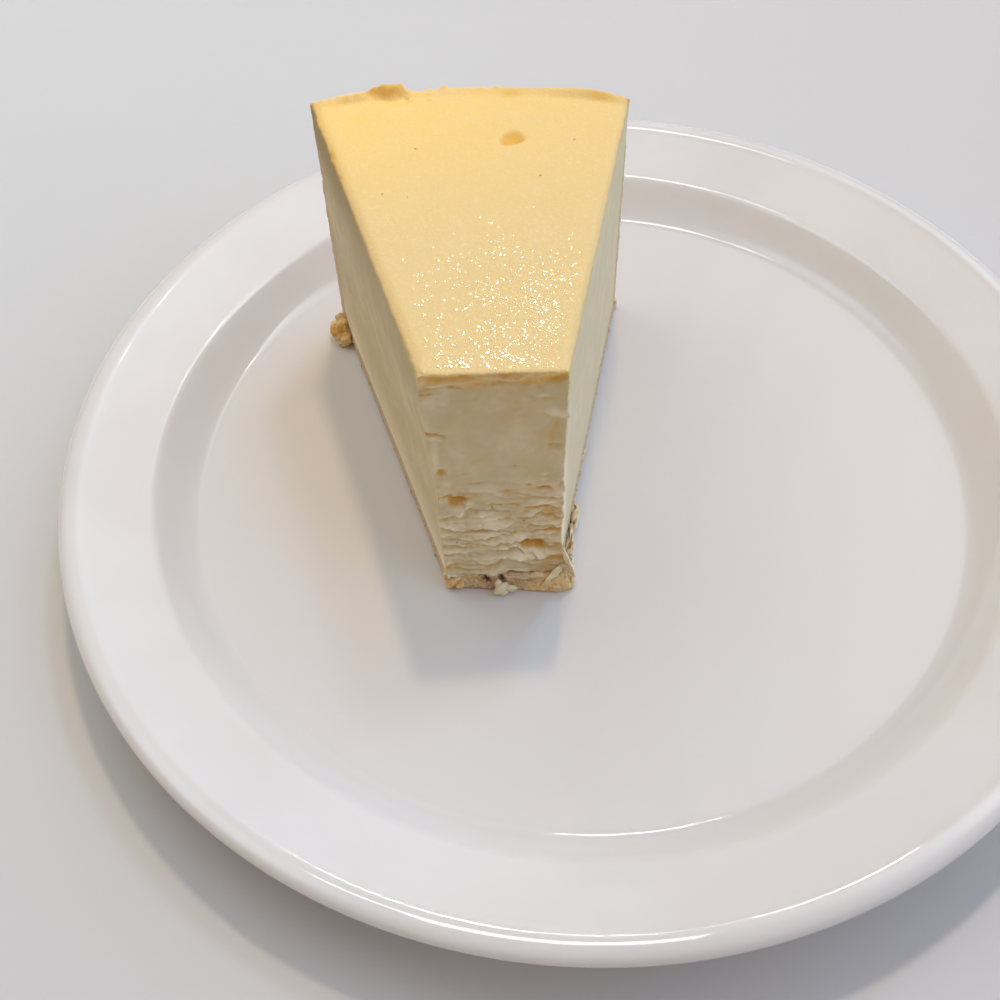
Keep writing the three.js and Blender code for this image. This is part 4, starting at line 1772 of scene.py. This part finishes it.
@dataclass
class Studio:
    """Camera at the photograph's viewing angle, pale floor and soft light."""

    pitch: float = math.radians(53.25)
    roll: float = math.radians(-1.62)
    spot: Triple = (-0.0182, -0.1791, 0.2383)
    lens: float = 46.8
    sensor: float = 36.0
    floor_reach: float = 3.0
    floor_tones: tuple[Colour, Colour] = (shade(214, 212, 210), shade(208, 206, 205))
    room_colour: Colour = (1.0, 0.62, 0.37, 1.0)
    room_strength: float = 0.25
    backdrop: Colour = shade(206, 204, 203)
    lamps: tuple[Lamp, ...] = (
        Lamp("warm_lamp", (0.03, 0.32, 0.945), 0.78, (1.0, 0.742, 0.485), 4.2, 1.1),
        Lamp("cool_lamp", (0.18, 0.41, 0.895), 0.465, (0.495, 0.733, 1.0), 7.3, 1.1),
        Lamp("left_lamp", (-0.45, 0.3, 0.85), 1.02, (0.76, 0.935, 1.0), 46.0, 0.7),
        Lamp("right_fill", (0.8, 0.1, 0.55), 1.68, (0.427, 0.68, 1.0), 90.0),
        Lamp("left_fill", (-0.8, 0.1, 0.55), 0.08, (1.0, 0.95, 0.4), 90.0),
        Lamp("front_fill", (0.25, -0.5, 0.83), 0.34, (0.8, 0.91, 1.0), 70.0),
        Lamp("cove_glint", (0.069, 0.761, 0.645), 0.06, (1.0, 1.0, 1.0), 1.2, 0.0, True),
    )
    panels: tuple[Panel, ...] = (
        Panel("ceiling_panel", (-0.01, -0.01, 1.0), (0.76, 0.32), 10.0),
        Panel("ceiling_end", (-0.26, 0.05, 1.0), (0.22, 0.12), 10.0),
        Panel("side_panel", (0.6, 0.46, 1.0), (0.2, 0.07), 13.0),
        Panel("side_end", (0.6, 0.62, 1.0), (0.1, 0.06), 13.0),
    )
    glows: tuple[Glow, ...] = (
        Glow("right_glow", (0.85, 0.5, 1.0), 2.2, (0.95, 0.98, 1.0), 26.0, 66.0, 7),
        Glow("wall_glow", (1.15, 0.45, 1.0), 2.4, (0.95, 0.97, 1.0), 20.0, 44.0, 5),
        Glow("far_glow", (-0.8, -0.1, 1.0), 2.2, (0.6, 0.75, 1.0), 24.0, 52.0, 5),
    )
    sparkle: Lamp = Lamp("far_glint", (0.066, 1.0156, 1.0), 1.5, (1.0, 0.95, 0.82), 2.0, 0.0, True)

    def camera(self) -> None:
        """Sets the camera."""
        data = bpy.data.cameras.new("camera")
        data.lens = self.lens
        data.sensor_width = self.sensor
        ahead = Vector((0, math.cos(self.pitch), -math.sin(self.pitch)))
        right = Vector((1, 0, 0))
        up = right.cross(ahead)
        rolled = right * math.cos(self.roll) + up * math.sin(self.roll)
        above = up * math.cos(self.roll) - right * math.sin(self.roll)
        turned = Matrix((rolled, above, -ahead)).transposed().to_4x4()
        place = Matrix.Translation(Vector(self.spot)) @ turned
        bpy.context.scene.camera = stand("camera", data, place)

    def hang(self, lamp: Lamp) -> bpy.types.Object:
        """Hangs one lamp.

        Args:
            lamp: What it is like.

        Returns:
            The lamp's object.
        """
        data = bpy.data.lights.new(lamp.name, "POINT" if lamp.near else "SUN")
        data.energy = lamp.strength
        data.color = lamp.colour
        if lamp.near:
            data.energy *= 4 * math.pi * lamp.near**2
            data.shadow_soft_size = lamp.near * math.tan(math.radians(lamp.width / 2))
        else:
            data.angle = math.radians(lamp.width)
        way = Vector(lamp.towards).normalized()
        turned = way.to_track_quat("Z", "Y").to_matrix().to_4x4()
        item = stand(lamp.name, data, Matrix.Translation(way * lamp.near) @ turned)
        item.visible_camera = False
        item.visible_glossy = lamp.shine
        item.visible_diffuse = not lamp.shine
        return item

    def hang_panel(self, panel: Panel) -> None:
        """Hangs one panel.

        Args:
            panel: What it is like.
        """
        data = bpy.data.lights.new(panel.name, "AREA")
        data.shape = "RECTANGLE"
        data.size, data.size_y = panel.size
        data.energy = panel.radiance * math.pi * panel.size[0] * panel.size[1]
        away = Vector(panel.towards).normalized()
        across = Vector((0, 1, 0)).cross(away).normalized()
        turned = Matrix((across, away.cross(across), away)).transposed().to_4x4()
        item = stand(panel.name, data, Matrix.Translation(away * panel.distance) @ turned)
        item.visible_camera = False
        item.visible_diffuse = False

    def room(self) -> None:
        """Sets the soft light of the room, and the plain backdrop that the camera sees instead."""
        world = bpy.data.worlds.new("room")
        world.use_nodes = True
        tree = world.node_tree
        lit = tree.nodes["Background"]
        lit.inputs["Color"].default_value = self.room_colour
        lit.inputs["Strength"].default_value = self.room_strength
        backdrop = tree.nodes.new("ShaderNodeBackground")
        backdrop.inputs["Color"].default_value = self.backdrop
        seen = tree.nodes.new("ShaderNodeLightPath")
        choice = tree.nodes.new("ShaderNodeMixShader")
        tree.links.new(seen.outputs["Is Camera Ray"], choice.inputs[0])
        tree.links.new(lit.outputs[0], choice.inputs[1])
        tree.links.new(backdrop.outputs[0], choice.inputs[2])
        tree.links.new(choice.outputs[0], tree.nodes["World Output"].inputs["Surface"])
        bpy.context.scene.world = world

    def light_drops(self, drops: bpy.types.Object) -> None:
        """Hangs the lamp that the drops alone mirror.

        Args:
            drops: The drops.
        """
        mirrors = bpy.data.collections.new("mirrors")
        mirrors.objects.link(drops)
        self.hang(self.sparkle).light_linking.receiver_collection = mirrors

    def light(self) -> None:
        """Sets the lamps and the soft light of the room."""
        for lamp in self.lamps:
            self.hang(lamp)
        for glow in self.glows:
            for step in range(glow.steps):
                width = lerp(glow.narrow, glow.wide, step / (glow.steps - 1))
                share = math.pi * math.sin(math.radians(width / 2)) ** 2 / glow.steps
                disc = (glow.towards, glow.radiance * share, glow.colour, width, 0.0, True)
                self.hang(Lamp(f"{glow.name}_{step}", *disc))
        for panel in self.panels:
            self.hang_panel(panel)
        self.room()
        bpy.context.scene.view_settings.view_transform = "Standard"

    def floor(self) -> None:
        """Lays the plain pale floor."""
        mesh = bmesh.new()
        bmesh.ops.create_grid(mesh, x_segments=2, y_segments=2, size=self.floor_reach)
        paint = Paint("pale_floor")
        tone = paint.mix(*self.floor_tones, paint.noise(160, 2))
        stuff = paint.finish({"Base Color": tone, "Roughness": 0.8})
        to_object(mesh, "floor", stuff, Matrix.Identity(4))


def main() -> None:
    """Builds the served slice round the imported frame."""
    logging.basicConfig(level=logging.INFO, format="%(message)s")
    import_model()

    studio = Studio()
    studio.camera()
    studio.light()
    studio.floor()

    glaze = Glaze().material()
    cheese = Cheese().material()
    biscuit = Biscuit().material()
    dew = Dew().material()

    wedge = Wedge()
    filling = Filling(wedge)
    crust = Crust(wedge)
    crumbs = Crumbs(wedge)
    Plate().build(glaze)
    filling.build(cheese)
    studio.light_drops(Drops(filling).build(dew))
    crust.build(biscuit)
    crumbs.build_grains(crust, biscuit)
    crumbs.build_loose(biscuit)
    crumbs.build_torn(cheese)


if __name__ == "__main__":
    main()
